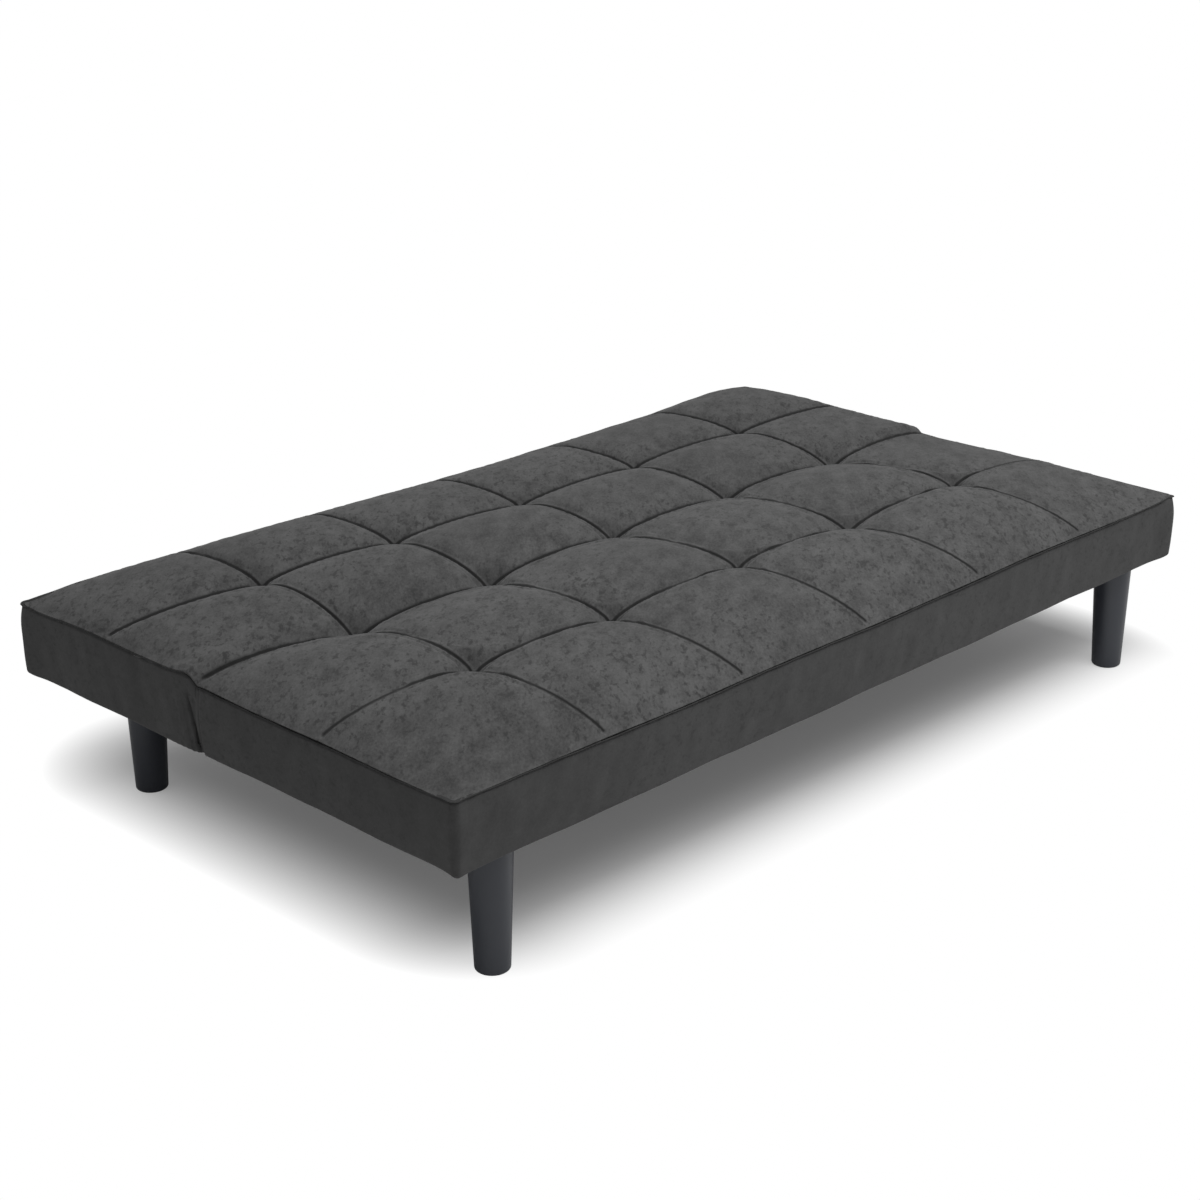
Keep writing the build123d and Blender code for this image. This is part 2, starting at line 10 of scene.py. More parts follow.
import bpy
import numpy as np
from mathutils import Matrix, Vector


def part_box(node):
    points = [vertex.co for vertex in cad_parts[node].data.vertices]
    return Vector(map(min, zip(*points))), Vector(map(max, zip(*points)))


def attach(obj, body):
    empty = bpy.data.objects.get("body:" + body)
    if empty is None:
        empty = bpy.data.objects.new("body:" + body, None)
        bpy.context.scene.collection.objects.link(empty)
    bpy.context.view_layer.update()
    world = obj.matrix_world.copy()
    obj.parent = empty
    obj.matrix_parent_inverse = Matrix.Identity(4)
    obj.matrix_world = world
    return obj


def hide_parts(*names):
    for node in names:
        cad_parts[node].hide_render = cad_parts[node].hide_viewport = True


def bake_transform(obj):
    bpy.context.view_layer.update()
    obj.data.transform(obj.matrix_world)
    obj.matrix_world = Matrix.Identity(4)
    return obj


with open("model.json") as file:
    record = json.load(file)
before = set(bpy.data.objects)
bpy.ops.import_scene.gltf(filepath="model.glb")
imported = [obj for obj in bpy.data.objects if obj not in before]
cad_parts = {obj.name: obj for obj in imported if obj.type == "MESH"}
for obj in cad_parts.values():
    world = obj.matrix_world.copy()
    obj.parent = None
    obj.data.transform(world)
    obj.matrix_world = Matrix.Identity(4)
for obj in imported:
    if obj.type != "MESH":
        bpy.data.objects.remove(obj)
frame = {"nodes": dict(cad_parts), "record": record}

log = logging.getLogger("sofa_bed")
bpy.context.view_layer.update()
MM = 0.001
WHITE = (1.0, 1.0, 1.0, 1.0)
BAND_NAP = 0.32
Knots = tuple[tuple[float, float], ...]
Waves = tuple[tuple[float, float, float], ...]


class Half(Enum):
    """The two upholstered halves; the value is the side of the split that the half lies on."""

    SEAT = -1
    BACK = 1

    @property
    def body(self) -> str:
        """Name of the body that the half moves with."""
        return self.name.lower()


class Hand(Enum):
    """The two ends of the bed; the value is the sign of their X."""

    LEFT = -1
    RIGHT = 1


# Shader maths


def arithmetic(operation: str, swapped: bool = False) -> Callable[["Wire", "Wire | float"], "Wire"]:
    """Make an arithmetic operator of Wire, which adds one Math node.

    Args:
        operation: Blender's name of the operation.
        swapped: The other operand, a number, stands on the left.

    Returns:
        The operator.
    """

    def operator(wire: "Wire", other: "Wire | float") -> "Wire":
        """Output of a Math node on both operands."""
        first, second = (other, wire) if swapped else (wire, other)
        return wire.bench.node("ShaderNodeMath", {"operation": operation}, {0: first, 1: second})

    return operator


class Wire:
    """One node output that can be used in Python arithmetic."""

    def __init__(self, bench: "NodeBench", socket: bpy.types.NodeSocket) -> None:
        """Keep the bench that owns the nodes, and the socket."""
        self.bench = bench
        self.socket = socket

    __add__ = arithmetic("ADD")
    __radd__ = arithmetic("ADD", swapped=True)
    __sub__ = arithmetic("SUBTRACT")
    __rsub__ = arithmetic("SUBTRACT", swapped=True)
    __mul__ = arithmetic("MULTIPLY")
    __rmul__ = arithmetic("MULTIPLY", swapped=True)

    def clipped(self) -> "Wire":
        """Hold between 0 and 1."""
        return self.bench.node("ShaderNodeClamp", {}, {"Value": self})


class NodeBench:
    """Builds the node tree of one material or of the world."""

    def __init__(self, owner: bpy.types.Material | bpy.types.World) -> None:
        """Start with an empty tree.

        Args:
            owner: Material or world whose nodes are laid out.
        """
        owner.use_nodes = True
        self.owner = owner
        self.tree = owner.node_tree
        self.tree.nodes.clear()

    @classmethod
    def material(cls, name: str) -> "NodeBench":
        """Bench for a new material."""
        return cls(bpy.data.materials.new(name))

    def node(
        self,
        kind: str,
        settings: dict[str, object] | None = None,
        inputs: dict[str | int, object] | None = None,
        output: str | int = 0,
    ) -> Wire:
        """Add any node.

        Args:
            kind: Blender's node type.
            settings: Properties, set first.
            inputs: Numbers, colours or wires by socket name or number.
            output: Name or number of the socket to hand back.

        Returns:
            The chosen output, or the first input of a node that has no output.
        """
        made = self.tree.nodes.new(kind)
        for key, value in (settings or {}).items():
            setattr(made, key, value)
        for key, value in (inputs or {}).items():
            if isinstance(value, Wire):
                self.tree.links.new(value.socket, made.inputs[key])
            else:
                made.inputs[key].default_value = value
        return Wire(self, made.outputs[output] if made.outputs else made.inputs[0])

    def place(self, scale: tuple[float, float, float] = (1.0, 1.0, 1.0), turn: float = 0.0) -> Wire:
        """Object coordinates on axes turned about Z, on which a pattern is drawn out by the scale.

        Args:
            scale: How far the pattern is drawn out on each axis.
            turn: Angle of the axes.

        Returns:
            The coordinates.
        """
        own = self.node("ShaderNodeTexCoord", {}, {}, "Object")
        values = {"Vector": own, "Rotation": (0, 0, turn), "Scale": scale}
        return self.node("ShaderNodeMapping", {"vector_type": "TEXTURE"}, values)

    def noise(self, vector: Wire, scale: float, detail: float = 2.0, roughness: float = 0.5) -> Wire:
        """Smooth noise between 0 and 1 on a coordinate."""
        values = {"Vector": vector, "Scale": scale, "Detail": detail, "Roughness": roughness}
        return self.node("ShaderNodeTexNoise", {}, values, "Fac")

    def attribute(self, name: str) -> Wire:
        """Value that the mesh keeps at each of its points."""
        return self.node("ShaderNodeAttribute", {"attribute_name": name}, {}, "Fac")

    def blend_colours(self, factor: Wire, first: object, second: object) -> Wire:
        """Mix two colours by a factor."""
        return self.node("ShaderNodeMix", {"data_type": "RGBA"}, {0: factor, 6: first, 7: second}, 2)

    def bump(self, height: Wire, strength: float, distance: float) -> Wire:
        """Normal that follows a height."""
        return self.node("ShaderNodeBump", {}, {"Height": height, "Strength": strength, "Distance": distance})

    def background_seen(self) -> Wire:
        """1 for rays that show the background to the eye: straight, mirrored or through glass.

        Returns:
            The mask.
        """
        straight, mirrored, through = (
            self.node("ShaderNodeLightPath", {}, {}, f"Is {kind} Ray") for kind in ("Camera", "Glossy", "Transmission")
        )
        return (straight + mirrored + through).clipped()

    def surface(self, **sockets: object) -> bpy.types.Material:
        """Close the material with a Principled shader.

        Args:
            sockets: Values by socket name, with underscores for blanks.

        Returns:
            The finished material.
        """
        values = {key.replace("_", " "): value for key, value in sockets.items()}
        shader = self.node("ShaderNodeBsdfPrincipled", {}, values)
        self.node("ShaderNodeOutputMaterial", {}, {"Surface": shader})
        return self.owner


def linear(code: str) -> tuple[float, float, float, float]:
    """Turn a six-digit screen colour into the linear colour that a shader takes.

    Args:
        code: Red, green and blue as hexadecimal digits.

    Returns:
        Linear colour with full alpha.
    """
    screen = np.array([int(code[start : start + 2], 16) / 255 for start in (0, 2, 4)])
    light = np.where(screen <= 0.04045, screen / 12.92, ((screen + 0.055) / 1.055) ** 2.4)
    return (*light.tolist(), 1.0)


def dimmed(colour: tuple[float, ...], share: float) -> tuple[float, ...]:
    """Colour times a share, with full alpha."""
    return (*(share * channel for channel in colour[:3]), 1.0)


# Finishes


@dataclass(frozen=True)
class NapLayer:
    """One layer of noise in a nap: its fineness, how far it is drawn out on turned axes, and its weight."""

    scale: float
    detail: float
    roughness: float
    weight: float
    drawn: tuple[float, float, float] = (1.0, 1.0, 1.0)
    turn: float = 0.0

    def noise(self, bench: NodeBench) -> Wire:
        """Noise of the layer, between 0 and 1."""
        return bench.noise(bench.place(self.drawn, self.turn), self.scale, self.detail, self.roughness)


NAP_TURN = 0.77


@dataclass(frozen=True)
class SuedeCloth:
    """Brushed suede-like cloth with a blotchy nap, dark flecks, and a darker seam colour that marks stitched seams and
    painted shade.
    """

    name: str
    dark: str
    light: str
    seam: str
    sheen: float = 0.12
    wide: NapLayer = NapLayer(scale=3.4, detail=2.0, roughness=0.5, weight=0.8)
    drift: NapLayer = NapLayer(
        scale=28.0, detail=5.0, roughness=0.64, weight=1.9, drawn=(1.5, 0.85, 0.9), turn=NAP_TURN
    )
    fleck: NapLayer = NapLayer(
        scale=86.0, detail=5.0, roughness=0.66, weight=-1.15, drawn=(1.5, 0.85, 0.9), turn=NAP_TURN
    )
    grain: NapLayer = NapLayer(
        scale=230.0, detail=3.0, roughness=0.6, weight=1.25, drawn=(1.4, 0.85, 1.0), turn=NAP_TURN
    )
    pile: NapLayer = NapLayer(scale=800.0, detail=2.0, roughness=0.5, weight=0.4)
    fleck_level: float = 0.475
    fleck_edge: float = 5.5
    bare_level: float = 0.3
    bare_edge: float = 4.0
    even: float = 0.54
    brightening: float = 0.03

    def material(self) -> bpy.types.Material:
        """Make the cloth: wide and small blotches of nap, flecks that come in drifts, and a fine brushed bump.

        Returns:
            The material.
        """
        bench = NodeBench.material(self.name)
        wide, drift, fleck = (layer.noise(bench) for layer in (self.wide, self.drift, self.fleck))
        flecked = ((self.fleck_level - fleck) * self.fleck_edge).clipped()
        flecked = flecked * ((wide - self.bare_level) * self.bare_edge).clipped()
        brushed = bench.attribute("brushed")
        grain = self.grain.noise(bench)
        mottle = self.drift.weight * (drift - 0.5) + self.wide.weight * (wide - 0.5)
        mottle = mottle + self.grain.weight * (grain - 0.5) + self.fleck.weight * flecked
        nap = self.even + brushed * (mottle + self.brightening)
        cloth = bench.blend_colours(nap.clipped(), linear(self.dark), linear(self.light))
        # The seam attribute mixes in the seam colour: dark stitching, and painted shade in seam ditches, on tufts and
        # along the crease at each end of the split.
        colour = bench.blend_colours(bench.attribute("seam").clipped(), cloth, linear(self.seam))
        pile = self.pile.noise(bench)
        bristle = (1 - self.pile.weight) * fleck + self.pile.weight * pile
        return bench.surface(
            Base_Color=colour,
            Roughness=0.95,
            Specular_IOR_Level=0.15,
            Sheen_Weight=self.sheen,
            Sheen_Roughness=0.5,
            Normal=bench.bump(bristle, strength=0.22, distance=0.6 * MM),
        )


@dataclass(frozen=True)
class PlainCloth:
    """Plain woven or non-woven cloth, foam or twine."""

    name: str
    colour: str
    grain: float = 700.0
    contrast: float = 0.25

    def material(self) -> bpy.types.Material:
        """Make the cloth from one speckled colour.

        Returns:
            The material.
        """
        bench = NodeBench.material(self.name)
        speckle = bench.noise(bench.place(), self.grain)
        base = linear(self.colour)
        return bench.surface(
            Base_Color=bench.blend_colours(speckle, dimmed(base, 1 - self.contrast), base),
            Roughness=0.95,
            Specular_IOR_Level=0.15,
            Normal=bench.bump(speckle, strength=0.2, distance=0.4 * MM),
        )


@dataclass(frozen=True)
class SatinPlastic:
    """Moulded plastic or rubber with a soft gloss and a faint orange-peel skin."""

    name: str
    colour: str
    roughness: float
    wear: float = 0.12
    wear_drawn: tuple[float, float, float] = (1.0, 1.0, 2.5)

    def material(self) -> bpy.types.Material:
        """Make the plastic, with a little wear in its gloss.

        Returns:
            The material.
        """
        bench = NodeBench.material(self.name)
        wear = bench.noise(bench.place(self.wear_drawn), scale=35.0, detail=4.0)
        peel = bench.noise(bench.place(), scale=700.0, detail=1.0)
        return bench.surface(
            Base_Color=linear(self.colour),
            Roughness=self.roughness + self.wear * (wear - 0.5),
            Normal=bench.bump(peel, strength=0.06, distance=0.2 * MM),
        )


@dataclass(frozen=True)
class Steel:
    """Plated, oiled or powder-coated steel."""

    name: str
    colour: str
    roughness: float
    metallic: float = 1.0
    clouding: float = 0.25
    shaded: float = 0.8

    def material(self) -> bpy.types.Material:
        """Make the steel, clouded in its gloss and faintly in its colour.

        Returns:
            The material.
        """
        bench = NodeBench.material(self.name)
        cloud = bench.noise(bench.place(), scale=60.0, detail=5.0, roughness=0.6)
        base = linear(self.colour)
        return bench.surface(
            Base_Color=bench.blend_colours(cloud, dimmed(base, self.shaded), base),
            Roughness=self.roughness + self.clouding * (cloud - 0.5),
            Metallic=self.metallic,
        )


@dataclass(frozen=True)
class SawnPine:
    """Unfinished sawn softwood with its grain along the bed."""

    name: str
    dark: str
    light: str
    fibre_share: float = 0.25
    contrast: float = 2.0
    ring_drawn: tuple[float, float, float] = (1.67, 0.11, 0.11)
    fibre_drawn: tuple[float, float, float] = (2.5, 0.07, 0.07)

    def material(self) -> bpy.types.Material:
        """Make the wood: rings drawn out along X, with fine fibres.

        Returns:
            The material.
        """
        bench = NodeBench.material(self.name)
        rings = bench.noise(bench.place(self.ring_drawn), scale=9.0, detail=4.0, roughness=0.55)
        fibres = bench.noise(bench.place(self.fibre_drawn), scale=40.0, detail=3.0)
        mixed = (1 - self.fibre_share) * rings + self.fibre_share * fibres
        grain = (mixed - 0.5) * self.contrast + 0.5
        colour = bench.blend_colours(grain.clipped(), linear(self.dark), linear(self.light))
        normal = bench.bump(fibres, strength=0.15, distance=0.3 * MM)
        return bench.surface(Base_Color=colour, Roughness=0.75, Normal=normal)


Finish = SuedeCloth | PlainCloth | SatinPlastic | Steel | SawnPine
FINISHES: dict[str, Finish] = {
    # The cover's seam colour also paints shade in seam ditches, on tufts and in the split's creases.
    "cover_cloth": SuedeCloth("charcoal suede", dark="363636", light="575757", seam="1a1a1a"),
    # The welt's cloth is darker than the cover's: painted shade of the groove under the top's edge.
    "welt_cloth": SuedeCloth("shade-darkened welt suede", dark="323232", light="3c3c3c", seam="323232", sheen=0.0),
    "dust_cloth": PlainCloth("black dust cloth", "1e1e1f", grain=500.0),
    "foam": PlainCloth("seat foam", "e3d7b4", grain=380.0, contrast=0.12),
    "webbing": PlainCloth("elastic webbing", "2c2c2e", grain=350.0),
    "twine": PlainCloth("tuft twine", "c9b98f", grain=900.0),
    "pine": SawnPine("sawn pine", dark="b98c57", light="dcb888"),
    "leg_plastic": SatinPlastic("satin leg plastic", "34373e", roughness=0.36),
    "cap_plastic": SatinPlastic("cap plastic", "1c1c1d", roughness=0.5),
    "black_steel": Steel("black powder coat", "242527", roughness=0.5, metallic=0.0),
    "buffer_rubber": SatinPlastic("buffer rubber", "1d1d1d", roughness=0.8),
    "zinc_steel": Steel("zinc plate", "b9bcc2", roughness=0.35),
    "hinge_steel": Steel("oiled hinge steel", "85888d", roughness=0.42),
}


class Wardrobe:
    """Makes the material of each slot once."""

    def __init__(self, finishes: dict[str, Finish]) -> None:
        """Keep the finishes by slot."""
        self.finishes = finishes
        self.made: dict[str, bpy.types.Material] = {}

    def of(self, slot: str) -> bpy.types.Material:
        """Material of a slot.

        Args:
            slot: Name of the slot.

        Returns:
            The slot's material, made at its first use.
        """
        if slot not in self.made:
            self.made[slot] = self.finishes[slot].material()
        return self.made[slot]


# Meshes


def grid_faces(rows: int, columns: int, wrap_rows: bool = False, wrap_columns: bool = False) -> np.ndarray:
    """Corner numbers of every four-sided face of a grid of points.

    Args:
        rows: Points along the first parameter.
        columns: Points along the second parameter.
        wrap_rows: Join the last row to the first.
        wrap_columns: Join the last column to the first.

    Returns:
        One row of four point numbers for each face.
    """
    row, column = np.meshgrid(
        np.arange(rows if wrap_rows else rows - 1),
        np.arange(columns if wrap_columns else columns - 1),
        indexing="ij",
    )
    next_row = (row + 1) % rows
    next_column = (column + 1) % columns
    corners = (
        row * columns + column,
        next_row * columns + column,
        next_row * columns + next_column,
        row * columns + next_column,
    )
    return np.stack(corners, axis=-1).reshape(-1, 4)


def rim_numbers(rows: int, columns: int) -> np.ndarray:
    """Point numbers round the edge of a grid, in order."""
    number = np.arange(rows * columns).reshape(rows, columns)
    return np.concatenate([number[:, 0], number[-1, 1:], number[-2::-1, -1], number[0, -2:0:-1]])


def lidded(points: np.ndarray, under: np.ndarray) -> tuple[np.ndarray, list]:
    """Close an upper grid with a lower grid of the same size and a wall round the edge.

    Args:
        points: Upper grid, rows by columns by three, facing up.
        under: Lower grid.

    Returns:
        All points, and the faces of both grids and of the wall.
    """
    rows, columns = points.shape[:2]
    count = rows * columns
    rim = rim_numbers(rows, columns)
    following = np.roll(rim, -1)
    wall = np.stack([following, rim, rim + count, following + count], axis=-1)
    upper = grid_faces(rows, columns)
    faces = np.concatenate([upper, upper[:, ::-1] + count, wall])
    return np.concatenate([points.reshape(-1, 3), under.reshape(-1, 3)]), faces.tolist()


def make_piece(
    name: str,
    points: np.ndarray,
    faces: list,
    finish: bpy.types.Material,
    seam: np.ndarray | None = None,
    brushed: float = 1.0,
) -> bpy.types.Object:
    """Put points and faces into a smooth mesh object at the origin.

    Args:
        name: Name of the piece.
        points: Places, one row each.
        faces: Point numbers of each face.
        finish: Material of the piece.
        seam: Share of seam colour at the first points, which stands for stitching and painted shade; the rest have
            none.
        brushed: How strongly the nap is blotched.

    Returns:
        The new object.
    """
    mesh = bpy.data.meshes.new(name)
    mesh.from_pydata(points.reshape(-1, 3).tolist(), [], faces)
    mesh.polygons.foreach_set("use_smooth", np.ones(len(mesh.polygons), dtype=bool))
    values = np.zeros(len(mesh.vertices), dtype=np.float32)
    if seam is not None:
        values[: seam.size] = seam.ravel()
    mesh.attributes.new("seam", "FLOAT", "POINT").data.foreach_set("value", values)
    nap = np.full(len(mesh.vertices), brushed, dtype=np.float32)
    mesh.attributes.new("brushed", "FLOAT", "POINT").data.foreach_set("value", nap)
    mesh.materials.append(finish)
    mesh.update()
    piece = bpy.data.objects.new(name, mesh)
    bpy.context.scene.collection.objects.link(piece)
    return piece


def sharpen(piece: bpy.types.Object, loop: np.ndarray) -> None:
    """Shade a closed run of edges as sharp, so that the surface beside it isn't bent by the wall below.

    Args:
        piece: The mesh object.
        loop: Point numbers of the run, in order.
    """
    mesh = piece.data
    ends = np.empty(2 * len(mesh.edges), dtype=np.int32)
    mesh.edges.foreach_get("vertices", ends)
    count = len(mesh.vertices)
    edges = np.sort(ends.reshape(-1, 2).astype(np.int64), axis=1)
    wanted = np.sort(np.stack([loop, np.roll(loop, -1)], axis=-1).astype(np.int64), axis=1)
    sharp = np.isin(edges[:, 0] * count + edges[:, 1], wanted[:, 0] * count + wanted[:, 1])
    mesh.attributes.new("sharp_edge", "BOOLEAN", "EDGE").data.foreach_set("value", sharp)


def clustered(segments: int, share: float = 0.86) -> np.ndarray:
    """Steps from 0 to 1 that crowd at both ends: a straight count mixed with half a cosine wave."""
    even = np.linspace(0, 1, segments + 1)
    return (1 - share) * even + share * (0.5 - 0.5 * np.cos(np.pi * even))


def ripple(along: np.ndarray, waves: Waves, phase: float = 0.0) -> np.ndarray:
    """Sum of sine waves, each given as height, length and start, all moved on by a phase."""
    return sum(height * np.sin(2 * np.pi * (along / length + (start + phase))) for height, length, start in waves)


def nearness(distance: np.ndarray, reach: float) -> np.ndarray:
    """1 at no distance, falling in a straight line to 0 at the reach."""
    return np.clip(1 - distance / reach, 0, 1)


def eased(place: np.ndarray, knots: Knots) -> np.ndarray:
    """Smooth curve through knots: one cubic per run, whose slope at a knot comes from the knots on both sides.

    Args:
        place: Where the curve is wanted; held between the first knot and the last.
        knots: Places and values, in order.

    Returns:
        The curve's values.
    """
    at, value = np.array(knots, dtype=float).T
    slope = np.gradient(value, at)
    place = np.clip(place, at[0], at[-1])
    run = np.clip(np.searchsorted(at, place, side="right") - 1, 0, len(at) - 2)
    width = at[run + 1] - at[run]
    share = (place - at[run]) / width
    before = (1 + 2 * share) * value[run] + share * width * slope[run]
    after = (3 - 2 * share) * value[run + 1] - (1 - share) * width * slope[run + 1]
    return (1 - share) ** 2 * before + share**2 * after


def bell(distance: np.ndarray, width: float | np.ndarray) -> np.ndarray:
    """Bell curve of a distance."""
    return np.exp(-((distance / width) ** 2))


# The bed


@dataclass
class BedSizes:
    """Levels and edges of the flat bed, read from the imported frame."""

    columns: int = 6
    half_length: float = 0.0
    front: float = 0.0
    rear: float = 0.0
    split: float = 0.0
    welt_level: float = 0.0
    bottoms: dict[Half, float] = field(default_factory=dict)

    def __post_init__(self) -> None:
        """Take each size from the CAD node that has it."""
        seat_low, seat_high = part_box("seat_boxing")
        back_low, back_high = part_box("back_boxing")
        self.half_length = seat_high[0]
        self.front = seat_low[1]
        self.rear = back_high[1]
        self.split = (seat_high[1] + back_low[1]) / 2
        self.welt_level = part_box("seat_welt")[1][2]
        self.bottoms = {Half.SEAT: seat_low[2], Half.BACK: back_low[2]}

    @property
    def column_width(self) -> float:
        """Width of one column of panels."""
        return 2 * self.half_length / self.columns

    def depth(self, half: Half) -> float:
        """Distance from the split to a half's outer band."""
        return self.split - self.front if half is Half.SEAT else self.rear - self.split


@dataclass
class SewnEdge:
    """Level of the sewn edge round both halves, in millimetres over the frame's welt level.

    The outer edges have knots along X, and each end has knots at distances from the split.
    """

    sizes: BedSizes
    outer: dict[Half, Knots] = field(
        default_factory=lambda: {
            Half.SEAT: (
                (-890, -5.0), (-760, -5.5), (-593, -7.0), (-445, -9.0), (-297, -7.5), (-148, -7.0), (0, -9.0),
                (148, -8.5), (297, -7.5), (445, -5.0), (593, -6.5), (760, -7.5), (850, -5.5), (890, -2.0),
            ),
            Half.BACK: (
                (-890, 1.0), (-742, 6.5), (-593, 5.0), (-445, 4.0), (-297, 2.0), (-148, -1.0), (0, -4.0),
                (148, -5.0), (297, -4.0), (445, -3.0), (593, -1.0), (700, 3.5), (790, 6.0), (890, -4.0),
            ),
        }
    )
    ends: dict[tuple[Half, Hand], Knots] = field(
        default_factory=lambda: {
            (Half.SEAT, Hand.LEFT): (
                (0, -6.5), (12, -5.5), (45, -6.0), (110, -7.5), (300, -7.3), (500, -7.3), (570, -5.0),
            ),
            (Half.SEAT, Hand.RIGHT): ((0, -11.0), (50, -9.8), (120, -8.0), (300, -4.2), (450, -3.5), (570, -2.0)),
            (Half.BACK, Hand.LEFT): (
                (0, -6.5), (8, -1.5), (16, 3.5), (27, 6.5), (45, 5.5), (70, 3.0), (110, 2.3), (180, 2.0), (250, 3.2),
                (340, 1.8), (400, -1.5), (440, -1.5), (474, 1.0),
            ),
            (Half.BACK, Hand.RIGHT): (
                (0, -11.0), (10, -8.5), (17, -3.5), (24, -0.5), (35, 0.3), (61, 0.7), (104, 0.8), (150, 1.0),
                (240, 1.5), (320, 2.0), (365, 0.8), (410, -0.8), (474, -4.0),
            ),
        }
    )
    corner: float = 10 * MM

    def lift(self, distance: np.ndarray, half: Half, x: np.ndarray | float) -> np.ndarray:
        """Height of the edge over the plain welt level, along smooth curves through the knots.

        Args:
            distance: Distance from the split.
            half: Which half.
            x: Place along the bed.

        Returns:
            The lift at each place.
        """
        x = np.asarray(x)
        left, right = (eased(distance / MM, self.ends[half, hand]) for hand in Hand)
        outer = eased(x / MM, self.outer[half])
        at_outer = distance > self.sizes.depth(half) - self.corner
        return MM * np.where(at_outer, outer, np.where(x < 0, left, right))


@dataclass
class QuiltShape:
    """Height of the tufted cover above the welt, panel by panel, and where its seams wander in plan.

    Rows are counted from the split: 0 is the split, 1 the row seam in the middle of a half, 2 the outer edge.
    """

    sizes: BedSizes
    edge: SewnEdge
    split_tufts: tuple[float, ...] = (-21.0, -12.0, -4.0, -4.0, -12.0)
    row_tufts: dict[Half, tuple[float, ...]] = field(
        default_factory=lambda: {Half.SEAT: (10.5, 8.8, 18.5, 6.5, 17.5), Half.BACK: (9.5, 7.0, 3.0, 6.0, 7.0)}
    )
    split_rises: tuple[float, ...] = (26.0, 19.5, 20.3, 19.2, 20.7, 22.5)
    row_rises: dict[Half, tuple[float, ...]] = field(
        default_factory=lambda: {
            Half.SEAT: (27.6, 16.6, 16.0, 18.3, 16.6, 20.3),
            Half.BACK: (15.5, 14.3, 12.3, 10.5, 11.3, 9.8),
        }
    )
    cross_rises: dict[Half, tuple[tuple[float, ...], tuple[float, ...]]] = field(
        default_factory=lambda: {
            Half.SEAT: ((33.1, 26.0, 23.5, 25.3, 24.5), (27.6, 25.5, 25.5, 31.0, 26.5)),
            Half.BACK: ((28.5, 23.3, 23.0, 18.0, 20.5), (20.5, 15.0, 14.2, 13.2, 13.3)),
        }
    )
    puffs: dict[Half, tuple[tuple[float, ...], tuple[float, ...]]] = field(
        default_factory=lambda: {
            Half.SEAT: ((-9.0,) * 6, (-4.0,) * 6),
            Half.BACK: ((-7.0,) * 6, (4.0, 3.0, 1.0, 0.0, 0.0, 5.0)),
        }
    )
    split_wander: tuple[float, ...] = (9.0, -1.5, -4.0, -3.0, -1.0)
    row_wander: dict[Half, tuple[float, ...]] = field(
        default_factory=lambda: {Half.SEAT: (2.0, -2.0, 2.5, -2.0, 2.0), Half.BACK: (9.0, -2.5, -1.0, -0.5, 0.5)}
    )
    row_roundness: float = 0.6
    cross_roundness: float = 0.7
    puff_roundness: float = 0.65
    stitch: float = 12 * MM
    cross_stitch: float = 8 * MM
    groove_depth: float = 2.2 * MM
    groove_width: float = 3.4 * MM
    tuft_depth: float = 2.0 * MM
    tuft_width: float = 9 * MM
    edge_stop: float = 6 * MM
    edge_fade: float = 4 * MM
    split_stop: float = 12 * MM
    split_fade: float = 10 * MM
    # Seam colour marks are partly stitching and partly painted shade: the bands sit on the far wall of each ditch, and
    # the ovals on the tufts and the soft bells behind them are painted shade.
    ditch_shade_lean: float = 3 * MM
    seam_width: float = 3.1 * MM
    seam_run: float = 50 * MM
    seam_weight: float = 1.6
    edge_weight: float = 0.4
    cross_share: float = 0.8
    mark_stop: float = 3 * MM
    tuft_shade_stretch: float = 2.4
    tuft_shade_width: float = 4.4 * MM
    shade_lean: float = 14 * MM
    shade_width: float = 24 * MM
    shade_share: float = 0.23

    def _heights(self, half: Half, row: int) -> np.ndarray:
        """Heights on one row at the two ends and the inner cross seams.

        Args:
            half: Which half.
            row: 0 on the split, 1 on the row seam, 2 on the sewn edge.

        Returns:
            A height for each end and seam, from left to right.
        """
        ends = self.sizes.half_length
        reach = np.array(row * self.sizes.depth(half) / 2)
        if row == 2:
            return self.edge.lift(reach, half, np.linspace(-ends, ends, self.sizes.columns + 1))
        inner = self.split_tufts if row == 0 else self.row_tufts[half]
        left, right = (float(self.edge.lift(reach, half, hand.value * ends)) for hand in Hand)
        return np.array([left, *(height * MM for height in inner), right])

    def _row_curve(self, half: Half, row: int, seam: np.ndarray, share: np.ndarray) -> np.ndarray:
        """Height along a row seam: a straight line between tufts plus a round arch, flat for a stitch at each tuft.

        The outermost row is the sewn edge.

        Args:
            half: Which half.
            row: Number of the row seam.
            seam: Number of the panel's left seam.
            share: Share of the way to the next seam.

        Returns:
            Heights above the welt's level.
        """
        if row == 2:
            x = (seam + share) * self.sizes.column_width - self.sizes.half_length
            return self.edge.lift(np.array(self.sizes.depth(half)), half, x)
        heights = self._heights(half, row)
        line = (1 - share) * heights[seam] + share * heights[seam + 1]
        flat = self.stitch / self.sizes.column_width
        start, stop = flat * (seam > 0), flat * (seam < self.sizes.columns - 1)
        run = np.clip((share - start) / (1 - start - stop), 0, 1)
        rises = np.array(self.split_rises if row == 0 else self.row_rises[half]) * MM
        return line + rises[seam] * (4 * run * (1 - run)) ** self.row_roundness

